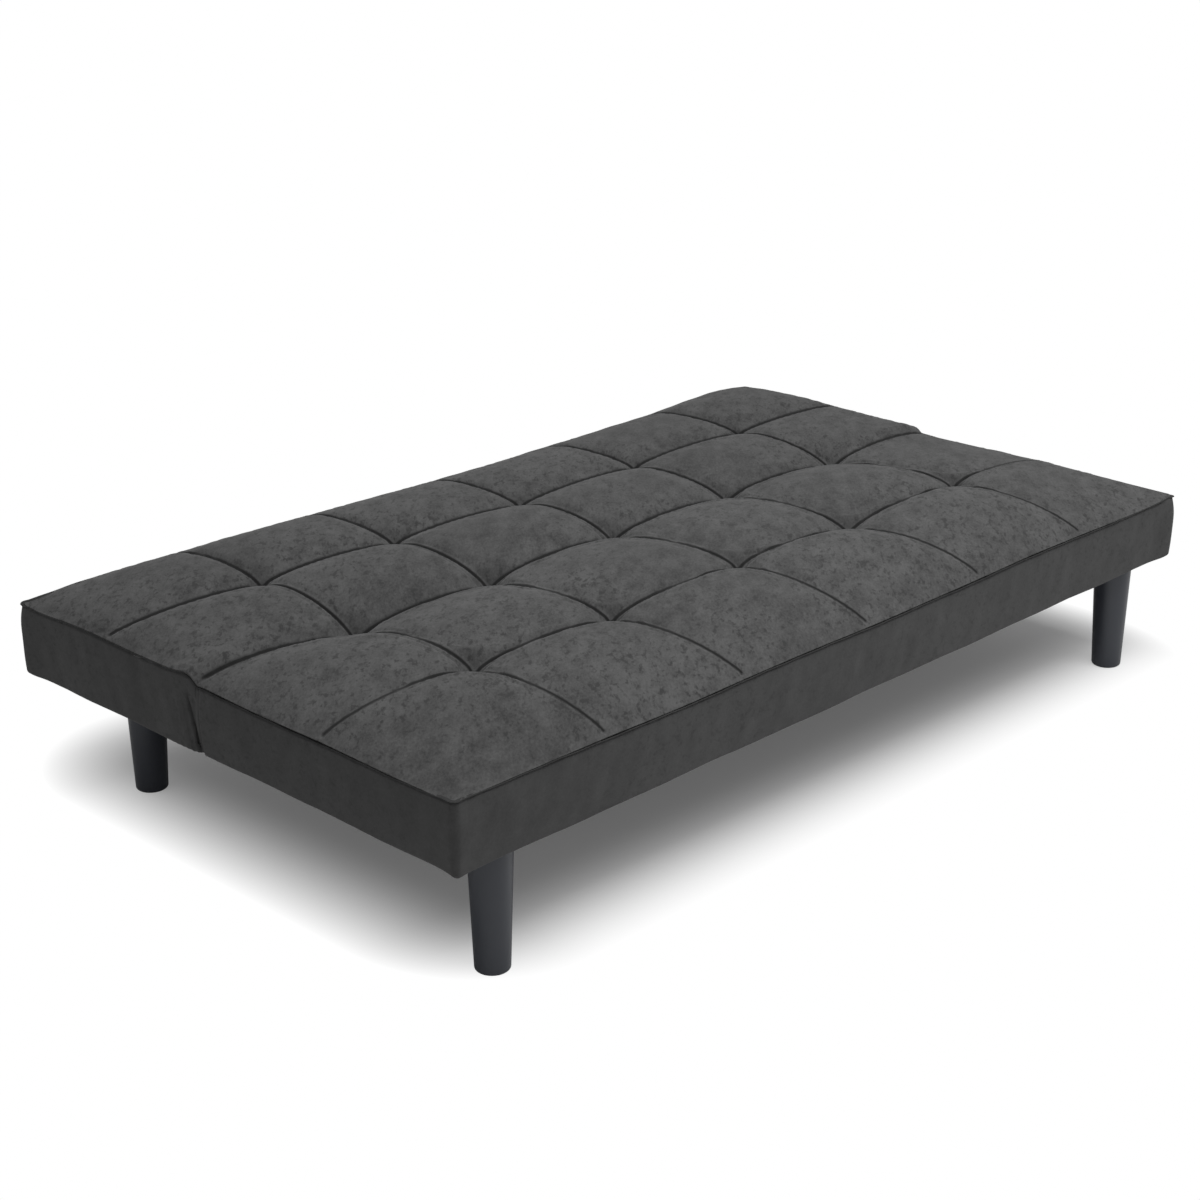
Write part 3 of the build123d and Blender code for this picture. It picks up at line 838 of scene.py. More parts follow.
    def _cross_curve(self, half: Half, row: int, seam: np.ndarray, share: np.ndarray) -> np.ndarray:
        """Height along a cross seam from one row to the next, arched too and flat at each tuft.

        The seams at the ends are sewn edges.

        Args:
            half: Which half.
            row: Number of the row of panels.
            seam: Number of the cross seam.
            share: Share of the way across the row.

        Returns:
            Heights above the welt's level.
        """
        start, stop = self._heights(half, row), self._heights(half, row + 1)
        line = (1 - share) * start[seam] + share * stop[seam]
        rises = np.array([0, *self.cross_rises[half][row], 0]) * MM
        flat = self.cross_stitch / (self.sizes.depth(half) / 2)
        run = np.clip((share - flat) / (1 - flat * (2 - row)), 0, 1)
        arch = rises[seam] * (4 * run * (1 - run)) ** self.cross_roundness
        x = seam * self.sizes.column_width - self.sizes.half_length
        edge = self.edge.lift((row + share) * self.sizes.depth(half) / 2, half, x)
        return np.where((seam == 0) | (seam == self.sizes.columns), edge, line + arch)

    def _panel(self, half: Half, row: int, seam: np.ndarray, along: np.ndarray, across: np.ndarray) -> np.ndarray:
        """Height inside one row of panels.

        A Coons patch: the row curves blended across plus the cross curves blended along, less the bilinear
        patch of the corners, with a puff that is largest in the middle.

        Args:
            half: Which half.
            row: Number of the row of panels.
            seam: Number of the panel's left seam.
            along: Share of the panel's width.
            across: Share of the panel's depth.

        Returns:
            Heights above the welt's level.
        """
        rows = (1 - across) * self._row_curve(half, row, seam, along)
        rows = rows + across * self._row_curve(half, row + 1, seam, along)
        crosses = (1 - along) * self._cross_curve(half, row, seam, across)
        crosses = crosses + along * self._cross_curve(half, row, seam + 1, across)
        near, far = self._heights(half, row), self._heights(half, row + 1)
        corners = (1 - across) * ((1 - along) * near[seam] + along * near[seam + 1])
        corners = corners + across * ((1 - along) * far[seam] + along * far[seam + 1])
        swell = (16 * along * (1 - along) * across * (1 - across)) ** self.puff_roundness
        return rows + crosses - corners + np.array(self.puffs[half][row])[seam] * MM * swell

    def _column(self, x: np.ndarray) -> tuple[np.ndarray, np.ndarray]:
        """Number of the column of panels at a place, and the share of its width.

        Args:
            x: Places along the bed.

        Returns:
            The numbers and the shares.
        """
        place = (x + self.sizes.half_length) / self.sizes.column_width
        seam = np.clip(np.floor(place), 0, self.sizes.columns - 1).astype(int)
        return seam, np.clip(place - seam, 0, 1)

    def height(self, x: np.ndarray, distance: np.ndarray, half: Half) -> np.ndarray:
        """Height of the cover above the floor.

        Args:
            x: Places along the bed.
            distance: Distances from the split.
            half: Which half.

        Returns:
            Z of each place.
        """
        seam, along = self._column(x)
        row_depth = self.sizes.depth(half) / 2
        inner = self._panel(half, 0, seam, along, np.clip(distance / row_depth, 0, 1))
        outer = self._panel(half, 1, seam, along, np.clip(distance / row_depth - 1, 0, 1))
        body = np.where(distance < row_depth, inner, outer)
        groove = self.groove_depth * self.stitching(x, distance, half, self.groove_width)
        dimple = self.tuft_depth * bell(self.tuft_distance(x, distance, half), self.tuft_width)
        return self.sizes.welt_level + body - groove - dimple

    def wander(self, x: np.ndarray, distance: np.ndarray, half: Half) -> np.ndarray:
        """Shift of the seams along the bed: straight between the shifts of the tufts, none on the edges.

        Args:
            x: Places along the bed.
            distance: Distances from the split.
            half: Which half.

        Returns:
            The shifts.
        """
        seam, along = self._column(x)
        split = np.array([0, *self.split_wander, 0]) * MM
        row = np.array([0, *self.row_wander[half], 0]) * MM
        on_split = (1 - along) * split[seam] + along * split[seam + 1]
        on_row = (1 - along) * row[seam] + along * row[seam + 1]
        place = distance / (self.sizes.depth(half) / 2)
        inner = (1 - np.clip(place, 0, 1)) * on_split + np.clip(place, 0, 1) * on_row
        return np.where(place < 1, inner, nearness(place - 1, 1.0) * on_row)

    def _off_cross(self, x: np.ndarray) -> np.ndarray:
        """Distance along the bed to the nearest inner cross seam.

        Args:
            x: Places along the bed.

        Returns:
            The distances.
        """
        place = (x + self.sizes.half_length) / self.sizes.column_width
        seam = np.clip(np.round(place), 1, self.sizes.columns - 1)
        return np.abs(place - seam) * self.sizes.column_width

    def stitching(
        self,
        x: np.ndarray,
        distance: np.ndarray,
        half: Half,
        width: float,
        cross_share: float = 1.0,
        split_stop: float | None = None,
    ) -> np.ndarray:
        """Bell curve across the nearest stitched seam, which fades out just before the sewn edge.

        Args:
            x: Places along the bed.
            distance: Distances from the split.
            half: Which half.
            width: Width of the bell.
            cross_share: Share of that width on the cross seams.
            split_stop: How far from the bed's ends the seam of the split has faded out, if not as usual.

        Returns:
            1 on a seam, 0 away from it.
        """
        depth = self.sizes.depth(half)
        stop = self.split_stop if split_stop is None else split_stop
        from_end = self.sizes.half_length - np.abs(x)
        row = bell(distance - depth / 2, width) * np.clip((from_end - self.edge_stop) / self.edge_fade, 0, 1)
        split = bell(distance, width) * np.clip((from_end - stop) / self.split_fade, 0, 1)
        cross = bell(self._off_cross(x), width * cross_share)
        cross = cross * np.clip((depth - distance - self.edge_stop) / self.edge_fade, 0, 1)
        return np.maximum(cross, np.maximum(row, split))

    def tuft_distance(self, x: np.ndarray, distance: np.ndarray, half: Half, oval: float = 1.0) -> np.ndarray:
        """Distance to the nearest tuft, where a cross seam meets the split or the row seam, drawn out to an oval."""
        row_depth = self.sizes.depth(half) / 2
        return np.hypot(self._off_cross(x) / oval, np.minimum(np.abs(distance - row_depth), np.abs(distance)))

    def seam_and_painted_shade(self, x: np.ndarray, distance: np.ndarray, half: Half) -> np.ndarray:
        """Share of seam colour, partly dark stitching and partly painted shade.

        The band along each seam is moved towards the rear and the right, onto the far wall of its ditch, so it is
        painted shade of the ditch as well as stitching. The oval on each tuft is painted shade of its dimple, and the
        soft bell in the corner of the panel behind each tuft is painted shade.

        Args:
            x: Places along the bed.
            distance: Distances from the split.
            half: Which half.

        Returns:
            The shares, from 0 to 1.
        """
        from_edge = np.minimum(self.sizes.half_length - np.abs(x), self.sizes.depth(half) - distance)
        weight = self.seam_weight * np.clip(self.edge_weight + from_edge / self.seam_run, 0, 1)
        lean_x, lean_y = x - self.ditch_shade_lean, distance - half.value * self.ditch_shade_lean
        line = self.stitching(lean_x, lean_y, half, self.seam_width, self.cross_share, self.mark_stop)
        oval = bell(self.tuft_distance(x, distance, half, self.tuft_shade_stretch), self.tuft_shade_width)
        corner_shade_distance = self.tuft_distance(x - self.shade_lean, distance - half.value * self.shade_lean, half)
        return np.maximum(np.clip(weight * line, oval, 1), self.shade_share * bell(corner_shade_distance, self.shade_width))


@dataclass
class ClothRelax:
    """Short cloth simulation that fills a pinned sheet with air."""

    pressure: float = 2.2
    spare: float = 0.010
    frames: int = 16
    cap: float = 3 * MM
    sink: float = 0.5 * MM
    least_length: float = 1e-9
    fabric: dict[str, float] = field(
        default_factory=lambda: {
            "quality": 6,
            "mass": 0.2,
            "tension_stiffness": 25,
            "compression_stiffness": 10,
            "shear_stiffness": 6,
            "bending_stiffness": 1.2,
            "air_damping": 4,
        }
    )

    def settle(self, points: np.ndarray, pinned: np.ndarray) -> np.ndarray:
        """Blow the sheet out between its pinned points.

        Args:
            points: Grid of places, rows by columns by three.
            pinned: True at each place that is held.

        Returns:
            The grid after the simulation, with no point moved further than the cap or sunk into the foam.
        """
        rows, columns = points.shape[:2]
        mesh = bpy.data.meshes.new("relax")
        mesh.from_pydata(points.reshape(-1, 3).tolist(), [], grid_faces(rows, columns).tolist())
        sheet = bpy.data.objects.new("relax", mesh)
        bpy.context.scene.collection.objects.link(sheet)
        hold = sheet.vertex_groups.new(name="hold")
        hold.add(np.flatnonzero(pinned.ravel()).tolist(), 1.0, "REPLACE")
        cloth = sheet.modifiers.new("cloth", "CLOTH")
        cloth.settings.vertex_group_mass = "hold"
        cloth.settings.use_pressure = True
        cloth.settings.uniform_pressure_force = self.pressure
        cloth.settings.shrink_min = -self.spare
        for name, value in self.fabric.items():
            setattr(cloth.settings, name, value)
        cloth.settings.effector_weights.gravity = 0
        cloth.point_cache.frame_end = self.frames
        scene = bpy.context.scene
        for step in range(1, self.frames + 1):
            scene.frame_set(step)
        settled = sheet.evaluated_get(bpy.context.evaluated_depsgraph_get()).data
        result = np.empty(rows * columns * 3, dtype=np.float32)
        settled.vertices.foreach_get("co", result)
        scene.frame_set(1)
        bpy.data.objects.remove(sheet)
        bpy.data.meshes.remove(mesh)
        move = result.reshape(points.shape).astype(float) - points
        move[..., 2] = np.maximum(move[..., 2], -self.sink)
        length = np.linalg.norm(move, axis=-1, keepdims=True)
        return points + move * np.minimum(1, self.cap / np.maximum(length, self.least_length))


@dataclass
class QuiltedCover:
    """Both quilted tops and the cloth that crosses the split between them."""

    sizes: BedSizes
    shape: QuiltShape
    relax: ClothRelax
    edge_tuck: float = 2.2 * MM
    corner: float = 12 * MM
    fold_reach: float = 30 * MM
    under_drop: float = 3 * MM
    least_thickness: float = 1 * MM
    stitch_width: float = 1 * MM
    fold_thickness: float = 1.5 * MM
    panel_steps: int = 54
    row_steps: int = 46

    def _along(self) -> np.ndarray:
        """Places along the bed, crowded beside every cross seam.

        Returns:
            The places, from left to right.
        """
        end = self.sizes.half_length - self.edge_tuck
        inner = [index * self.sizes.column_width - self.sizes.half_length for index in range(1, self.sizes.columns)]
        edges = [-end, *inner, end]
        runs = [start + clustered(self.panel_steps) * (stop - start) for start, stop in zip(edges[:-1], edges[1:])]
        return np.concatenate([run[:-1] for run in runs] + [[end]])

    def _across(self, half: Half) -> tuple[np.ndarray, int]:
        """Distances from the split, crowded beside the seams, and the number of the one where the fold cloth ends.

        Args:
            half: Which half.

        Returns:
            The distances and that number.
        """
        row = self.sizes.depth(half) / 2
        outer = self.sizes.depth(half) - self.edge_tuck
        inner_run = clustered(self.row_steps) * row
        cut = int(np.argmin(np.abs(inner_run - self.fold_reach)))
        inner_run[cut] = self.fold_reach
        return np.concatenate([inner_run[:-1], row + clustered(self.row_steps) * (outer - row)]), cut

    def _grid(self, half: Half) -> list[np.ndarray]:
        """Places along the bed and distances from the split of every point of one half's sheet."""
        return np.meshgrid(self._along(), self._across(half)[0], indexing="ij")

    def sheet(self, half: Half) -> tuple[np.ndarray, np.ndarray]:
        """Surface of one half's top over places along and across the bed.

        The corners of the plan are rounded by mapping each corner square onto a quarter disc, the seams wander
        a little, and the height comes from the quilt's shape.

        Args:
            half: Which half.

        Returns:
            Grid of places, and the share of seam colour on it.
        """
        x, distance = self._grid(half)
        end = self.sizes.half_length - self.edge_tuck
        outer = self.sizes.depth(half) - self.edge_tuck
        along = np.clip((np.abs(x) - (end - self.corner)) / self.corner, 0, 1)
        across = np.clip((distance - (outer - self.corner)) / self.corner, 0, 1)
        round_x = x - np.sign(x) * self.corner * along * (1 - np.sqrt(1 - across**2 / 2))
        round_distance = distance - self.corner * across * (1 - np.sqrt(1 - along**2 / 2))
        height = self.shape.height(x, distance, half)
        y = self.sizes.split + half.value * round_distance
        # Share of seam colour: stitching plus painted shade of ditches and tufts.
        seam = self.shape.seam_and_painted_shade(x, distance, half)
        return np.stack([round_x + self.shape.wander(x, distance, half), y, height], axis=-1), seam

    def settled(self, half: Half) -> tuple[np.ndarray, np.ndarray]:
        """Sheet of one half after its panels are blown out between the held seams and edges.

        Args:
            half: Which half.

        Returns:
            Grid of places, and the share of seam colour on it.
        """
        points, seam = self.sheet(half)
        x, distance = self._grid(half)
        held = self.shape.stitching(x, distance, half, self.stitch_width) > 0.5
        held[[0, -1], :] = True
        held[:, [0, -1]] = True
        return self.relax.settle(points, held), seam

    def _top(self, half: Half, points: np.ndarray, seam: np.ndarray, finish: bpy.types.Material) -> bpy.types.Object:
        """Close one half's sheet with a flat underside, and let it ride.

        Args:
            half: Which half.
            points: Grid of places.
            seam: Share of seam colour.
            finish: Cover cloth.

        Returns:
            The quilted top.
        """
        if half is Half.SEAT:
            points, seam = points[:, ::-1], seam[:, ::-1]
        under = points.copy()
        under[..., 2] = np.minimum(points[..., 2] - self.least_thickness, self.sizes.welt_level - self.under_drop)
        top = make_piece(f"{half.body}_quilt", *lidded(points, under), finish, seam)
        sharpen(top, rim_numbers(*points.shape[:2]))
        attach(top, half.body)
        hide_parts(f"{half.body}_quilted_top")
        return top

    def _fold(self, points: np.ndarray, seam: np.ndarray, finish: bpy.types.Material) -> bpy.types.Object:
        """Cloth over the split.

        Args:
            points: Grid of places, from the seat's side to the back's.
            seam: Share of seam colour.
            finish: Cover cloth.

        Returns:
            The fold cloth.
        """
        under = points - np.array([0, 0, self.fold_thickness])
        fold = make_piece("fold_cloth", *lidded(points, under), finish, seam)
        sharpen(fold, rim_numbers(*points.shape[:2]))
        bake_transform(fold)
        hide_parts("fold_strip")
        return fold

    def build(self, finish: bpy.types.Material) -> list[bpy.types.Object]:
        """Make both tops and the fold cloth.

        Args:
            finish: Cover cloth.

        Returns:
            The three pieces.
        """
        seat, seat_seam = self.settled(Half.SEAT)
        back, back_seam = self.settled(Half.BACK)
        seat_cut, back_cut = self._across(Half.SEAT)[1], self._across(Half.BACK)[1]
        fold = np.concatenate([seat[:, seat_cut:0:-1], back[:, : back_cut + 1]], axis=1)
        fold_seam = np.concatenate([seat_seam[:, seat_cut:0:-1], back_seam[:, : back_cut + 1]], axis=1)
        return [
            self._top(Half.SEAT, seat[:, seat_cut:], seat_seam[:, seat_cut:], finish),
            self._top(Half.BACK, back[:, back_cut:], back_seam[:, back_cut:], finish),
            self._fold(fold, fold_seam, finish),
        ]


@dataclass
class EdgePath:
    """Rounded rectangle, seen from above, that the band and the welt of one half follow."""

    sizes: BedSizes
    half: Half
    corner: float = 12 * MM
    split_corner: float = 4 * MM
    split_gap: float = 1.2 * MM
    step: float = 5 * MM
    arc_points: int = 13
    tip_share: float = 0.41

    def trace(self) -> tuple[np.ndarray, np.ndarray]:
        """Walk round the half, starting beside the split at the right end.

        Each corner is a quarter circle and each side a straight run between two quarter circles.

        Returns:
            Places (count by 2) and outward directions (count by 2) on a closed loop.
        """
        reach, length = self.sizes.depth(self.half), self.sizes.half_length
        radii = np.array([self.split_corner, self.corner, self.corner, self.split_corner])
        tips = np.array([[length, self.split_gap], [length, reach], [-length, reach], [-length, self.split_gap]])
        inward = np.array([[-1, 1], [-1, -1], [1, -1], [1, 1]])
        centres = tips + inward * radii[:, None]
        places, normals = [], []
        for index, radius in enumerate(radii):
            turn = np.radians(np.linspace(90 * index - 90, 90 * index, self.arc_points))
            ray = np.stack([np.cos(turn), np.sin(turn)], axis=-1)
            following = (index + 1) % len(radii)
            start = centres[index] + radius * ray[-1]
            stop = centres[following] + radii[following] * ray[-1]
            count = max(2, int(np.linalg.norm(stop - start) / self.step))
            share = np.linspace(0, 1, count + 1)[1:-1, None]
            places += [centres[index] + radius * ray, start + share * (stop - start)]
            normals += [ray, np.repeat(ray[-1:], count - 1, axis=0)]
        side = np.array([1, self.half.value])
        return np.concatenate(places) * side + np.array([0, self.sizes.split]), np.concatenate(normals) * side

    def from_corner(self, place: np.ndarray) -> np.ndarray:
        """Distance of places from the nearest outer corner of the plan.

        Args:
            place: Places on the plan.

        Returns:
            The distances.
        """
        reach = self.sizes.depth(self.half)
        beside = np.abs(place[:, 1] - self.sizes.split)
        to_tip = np.hypot(self.sizes.half_length - np.abs(place[:, 0]), reach - beside)
        return to_tip - self.tip_share * self.corner

    def at_corner(self, place: np.ndarray, width: float, sizes: tuple[float, float]) -> np.ndarray:
        """Bell curve round the left and the right outer corner, with a size in millimetres for each."""
        return bell(self.from_corner(place), width) * np.where(place[:, 0] < 0, *sizes) * MM

    @staticmethod
    def along(place: np.ndarray) -> np.ndarray:
        """Length of the walk up to each place."""
        return np.concatenate([[0], np.cumsum(np.linalg.norm(np.diff(place, axis=0), axis=1))])


@dataclass
class SplitFold:
    """Crease at each end of the split, where the back's cloth tucks in behind the seat's."""

    top_reach: float = 30 * MM
    bottom_reach: float = 4 * MM
    sink: float = 7.5 * MM
    start: float = 0.9
    shade_widths: tuple[float, float] = (3.2 * MM, 5.5 * MM)
    foot_width: float = 2 * MM
    shade_gain: float = 3.0
    gather_reach: float = 24 * MM
    gather_width: float = 5 * MM
    gather_shade_share: float = 0.5
    slant: float = 1.3
    fade: float = 9 * MM
    pleat_height: float = 0.3
    pleat_pitch: float = 13 * MM
    pleat_start: float = 0.6
    pleat_fade: float = 32 * MM

    def line(self, rise: np.ndarray) -> np.ndarray:
        """Distance of the crease behind the split, from its foot under the split to its slanting top."""
        return self.bottom_reach + (self.top_reach - self.bottom_reach) * np.clip(rise, 0, 1) ** self.slant

    def depth(self, rise: np.ndarray) -> np.ndarray:
        """How deep the crease is: none at its top, growing smoothly to the full sink half-way down."""
        share = np.clip((self.start - rise) / (0.5 * self.start), 0, 1)
        return self.sink * share**2 * (3 - 2 * share)

    def sunk(self, behind: np.ndarray, rise: np.ndarray) -> np.ndarray:
        """How far the cloth sinks: in full up to the crease, then dying away behind it, with upright pleats.

        Args:
            behind: Distances behind the crease.
            rise: Heights on the band, from 0 to 1.

        Returns:
            The depths.
        """
        past = np.clip(behind, 0, None)
        pleats = self.pleat_height * np.sin(2 * np.pi * behind / self.pleat_pitch + self.pleat_start)
        pleats = pleats * np.exp(-past / self.pleat_fade)
        return self.depth(rise) * (np.exp(-past / self.fade) + np.where(behind > 0, pleats, 0))

    def shade(self, behind: np.ndarray, rise: np.ndarray) -> np.ndarray:
        """Share of seam colour beside the crease: painted shade.

        A bell across it that widens towards its foot and is wider behind the crease, and a fainter one along the
        gather behind it, both painted shade of the crease and the gather.

        Args:
            behind: Distances behind the crease.
            rise: Heights on the band, from 0 to 1.

        Returns:
            The shares, from 0 to 1.
        """
        foot = np.clip(1 - rise, 0, 1)
        before, after = self.shade_widths
        width = np.where(behind > 0, after, before) + self.foot_width * foot
        gather_shade = self.gather_shade_share * foot * bell(behind - self.gather_reach, self.gather_width)
        shaded = np.clip(self.shade_gain * self.depth(rise) / self.sink, 0, 1)
        return np.maximum(bell(behind, width), gather_shade) * shaded


@dataclass
class SideBand:
    """Padded band round one half: full above the middle, drawn in at the welt and at the lower edge."""

    sizes: BedSizes
    edge: SewnEdge
    half: Half
    fold: SplitFold = field(default_factory=SplitFold)
    bottom_tuck: float = 4 * MM
    top_tuck: float = 2 * MM
    fullest: float = 0.64
    wall: float = 11.5 * MM
    hem: float = 3.5 * MM
    hem_drops: dict[Half, float] = field(default_factory=lambda: {Half.SEAT: 2.5 * MM, Half.BACK: 9.5 * MM})
    front_drop: float = 3 * MM
    tips: dict[Half, tuple[float, float]] = field(
        default_factory=lambda: {Half.SEAT: (1.5, -2.5), Half.BACK: (-3.0, 0.0)}
    )
    tip_reach: float = 16 * MM
    puffs: dict[Half, tuple[float, float]] = field(
        default_factory=lambda: {Half.SEAT: (1.7, 7.0), Half.BACK: (7.0, 4.0)}
    )
    corner_reach: float = 30 * MM
    boxiness: float = 0.6
    phases: dict[Half, float] = field(default_factory=lambda: {Half.SEAT: 0.0, Half.BACK: 0.37})
    drags: Waves = ((0.7 * MM, 0.31, 0.0), (0.45 * MM, 0.117, 0.2), (0.25 * MM, 0.053, 0.0))
    lean: float = 0.4
    wide_lean: Waves = ((0.35 * MM, 0.083, 0.0),)
    fine_lean: Waves = ((0.25 * MM, 0.041, 0.3),)
    hem_waves: Waves = ((0.6 * MM, 0.43, 0.0), (0.5 * MM, 0.19, 0.6))
    hem_wrinkle: tuple[float, float] = (0.2, 0.5)
    face_wrinkle: tuple[float, float] = (0.4, 0.6)
    base_gap: float = 0.5 * MM
    top_gap: float = 1.8 * MM
    split_drop: float = 14 * MM
    split_round: float = 7 * MM
    round_reach: float = 18 * MM
    split_slope: float = 0.87
    slope_start: float = 10 * MM
    seat_recess: float = 1 * MM
    recess_reach: float = 0.04
    recess_sharpness: float = 1.6
    recess_fall: float = 1.5
    hem_turn: float = 4 * MM
    hem_arc: tuple[float, float] = (-90.0, -10.0)
    hem_points: int = 6
    hem_rise: float = 0.055
    face_points: int = 25
    face_start: float = 0.06
    inner_points: int = 5
    inner_foot: float = 0.02
    inner_gap: float = 1 * MM

    def face(self, rise: np.ndarray) -> np.ndarray:
        """Outward offset of the outer face at heights from 0 to 1: two parabolas that meet where it is fullest.

        Args:
            rise: The heights.

        Returns:
            The offsets.
        """
        below = -self.bottom_tuck * np.clip(1 - rise / self.fullest, 0, 1) ** 2
        above = -self.top_tuck * np.clip((rise - self.fullest) / (1 - self.fullest), 0, 1) ** 2
        return below + above

    def profile(self) -> tuple[np.ndarray, np.ndarray, np.ndarray]:
        """Closed outline of the band's section.

        Two parabolas make the outer face, most of a quarter circle the lower hem, and a straight line the inner face.

        Returns:
            Outward offsets, heights from 0 to 1, and the share of wrinkling at each point.
        """
        rise = np.linspace(self.face_start, 1, self.face_points)
        face = self.face(rise)
        turn = np.radians(np.linspace(*self.hem_arc, self.hem_points))
        hem_out = face[0] - self.hem + self.hem * np.cos(turn)
        hem_up = self.hem_rise * (1 + np.sin(turn))
        inner_up = np.linspace(1, self.inner_foot, self.inner_points)
        offsets = np.concatenate([hem_out, face, np.full(self.inner_points, -self.wall - self.inner_gap)])
        offsets[-1] = face[0] - self.hem - self.hem_turn
        heights = np.concatenate([hem_up, rise, inner_up])
        least, swing = self.face_wrinkle
        on_hem, on_face = np.linspace(*self.hem_wrinkle, self.hem_points), least + swing * np.sin(np.pi * rise)
        wrinkle = np.concatenate([on_hem, on_face, np.zeros(self.inner_points)])
        return offsets, heights, wrinkle

    def points(self) -> np.ndarray:
        """Carry the section along the loop.

        The offset is the section's own plus sine waves along the loop, a puff on each outer corner, and on the
        back the crease beside the split: it sinks in full up to the crease's line and dies away behind it, with
        upright gathers. The lower edge waves and dips in a tip at each corner.

        Returns:
            Grid of places, one row for each step along the loop.
        """
        path = EdgePath(self.sizes, self.half)
        place, normal = path.trace()
        offsets, heights, wrinkle = self.profile()
        along = path.along(place)
        beside = np.abs(place[:, 1] - self.sizes.split)
        on_split = np.clip(-normal[:, 1] * self.half.value, 0, 1)
        hem_drop = (self.hem_drops[self.half] + self.base_gap) * (1 - on_split)
        low = self.sizes.bottoms[self.half] + self.base_gap - hem_drop
        low = low - self.front_drop * np.clip(-normal[:, 1], 0, 1) * (1 - on_split)
        lift = self.edge.lift(beside, self.half, place[:, 0])
        top = self.sizes.welt_level - self.top_gap + lift - self.split_drop * on_split
        level = low[:, None] + heights[None, :] * (top - low)[:, None]
        fall = 1 - np.clip(heights, 0, 1)
        phase = self.phases[self.half]
        drag = ripple(along, self.drags, phase)
        slanting = along[:, None] + self.lean * level
        lean = ripple(slanting, self.wide_lean, phase) + ripple(slanting, self.fine_lean)
        puff = path.at_corner(place, self.corner_reach, self.puffs[self.half])
        over = np.clip((heights - self.fullest) / (1 - self.fullest), 0, 1)
        boxy = np.where(wrinkle > 0, 1 - self.boxiness * over**2, 0)
        offset = offsets[None, :] + wrinkle[None, :] * (drag[:, None] + lean) + boxy[None, :] * puff[:, None]
        if self.half is Half.BACK:
            behind = beside[:, None] - self.fold.line(heights)[None, :]
            sunk = self.fold.sunk(behind, heights[None, :])
            sunk = np.minimum(sunk, self.wall - self.base_gap + offsets[None, :])
            offset = offset - np.where(wrinkle > 0, sunk, 0) * (1 - on_split)[:, None]
        fold = self.split_slope * np.clip(level - (self.sizes.welt_level - self.slope_start), 0, None)
        offset = offset - on_split[:, None] * np.where(wrinkle > 0, fold, 0)
        hem_wave = ripple(along, self.hem_waves, phase)
        tip = path.at_corner(place, self.tip_reach, self.tips[self.half])
        rounded = self.split_round * nearness(beside, self.round_reach) ** 2 if self.half is Half.BACK else 0
        raised = level + fall[None, :] ** 2 * (hem_wave - tip + rounded)[:, None]
        flat = place[:, None, :] + normal[:, None, :] * offset[..., None]
        shift = self.seat_recess * nearness(beside, self.recess_reach) ** self.recess_sharpness
        flat[..., 1] += self.half.value * shift[:, None] * fall[None, :] ** self.recess_fall
        return np.concatenate([flat, raised[..., None]], axis=-1)

    def build(self, finish: bpy.types.Material) -> bpy.types.Object:
        """Make the band and let it ride with its half.

        Args:
            finish: Cover cloth.

        Returns:
            The band.
        """
        points = self.points()
        seam = np.zeros(points.shape[:2])
        if self.half is Half.SEAT:
            points = points[::-1]
        else:
            heights = self.profile()[1][None, :]
            behind = points[..., 1] - self.sizes.split - self.fold.line(heights)
            # Painted shade of the crease, stored as seam colour.
            seam = self.fold.shade(behind, heights)
        faces = grid_faces(points.shape[0], points.shape[1], True, True)
        band = make_piece(f"{self.half.body}_side_band", points, faces.tolist(), finish, seam, BAND_NAP)
        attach(band, self.half.body)
        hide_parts(f"{self.half.body}_boxing")
        return band


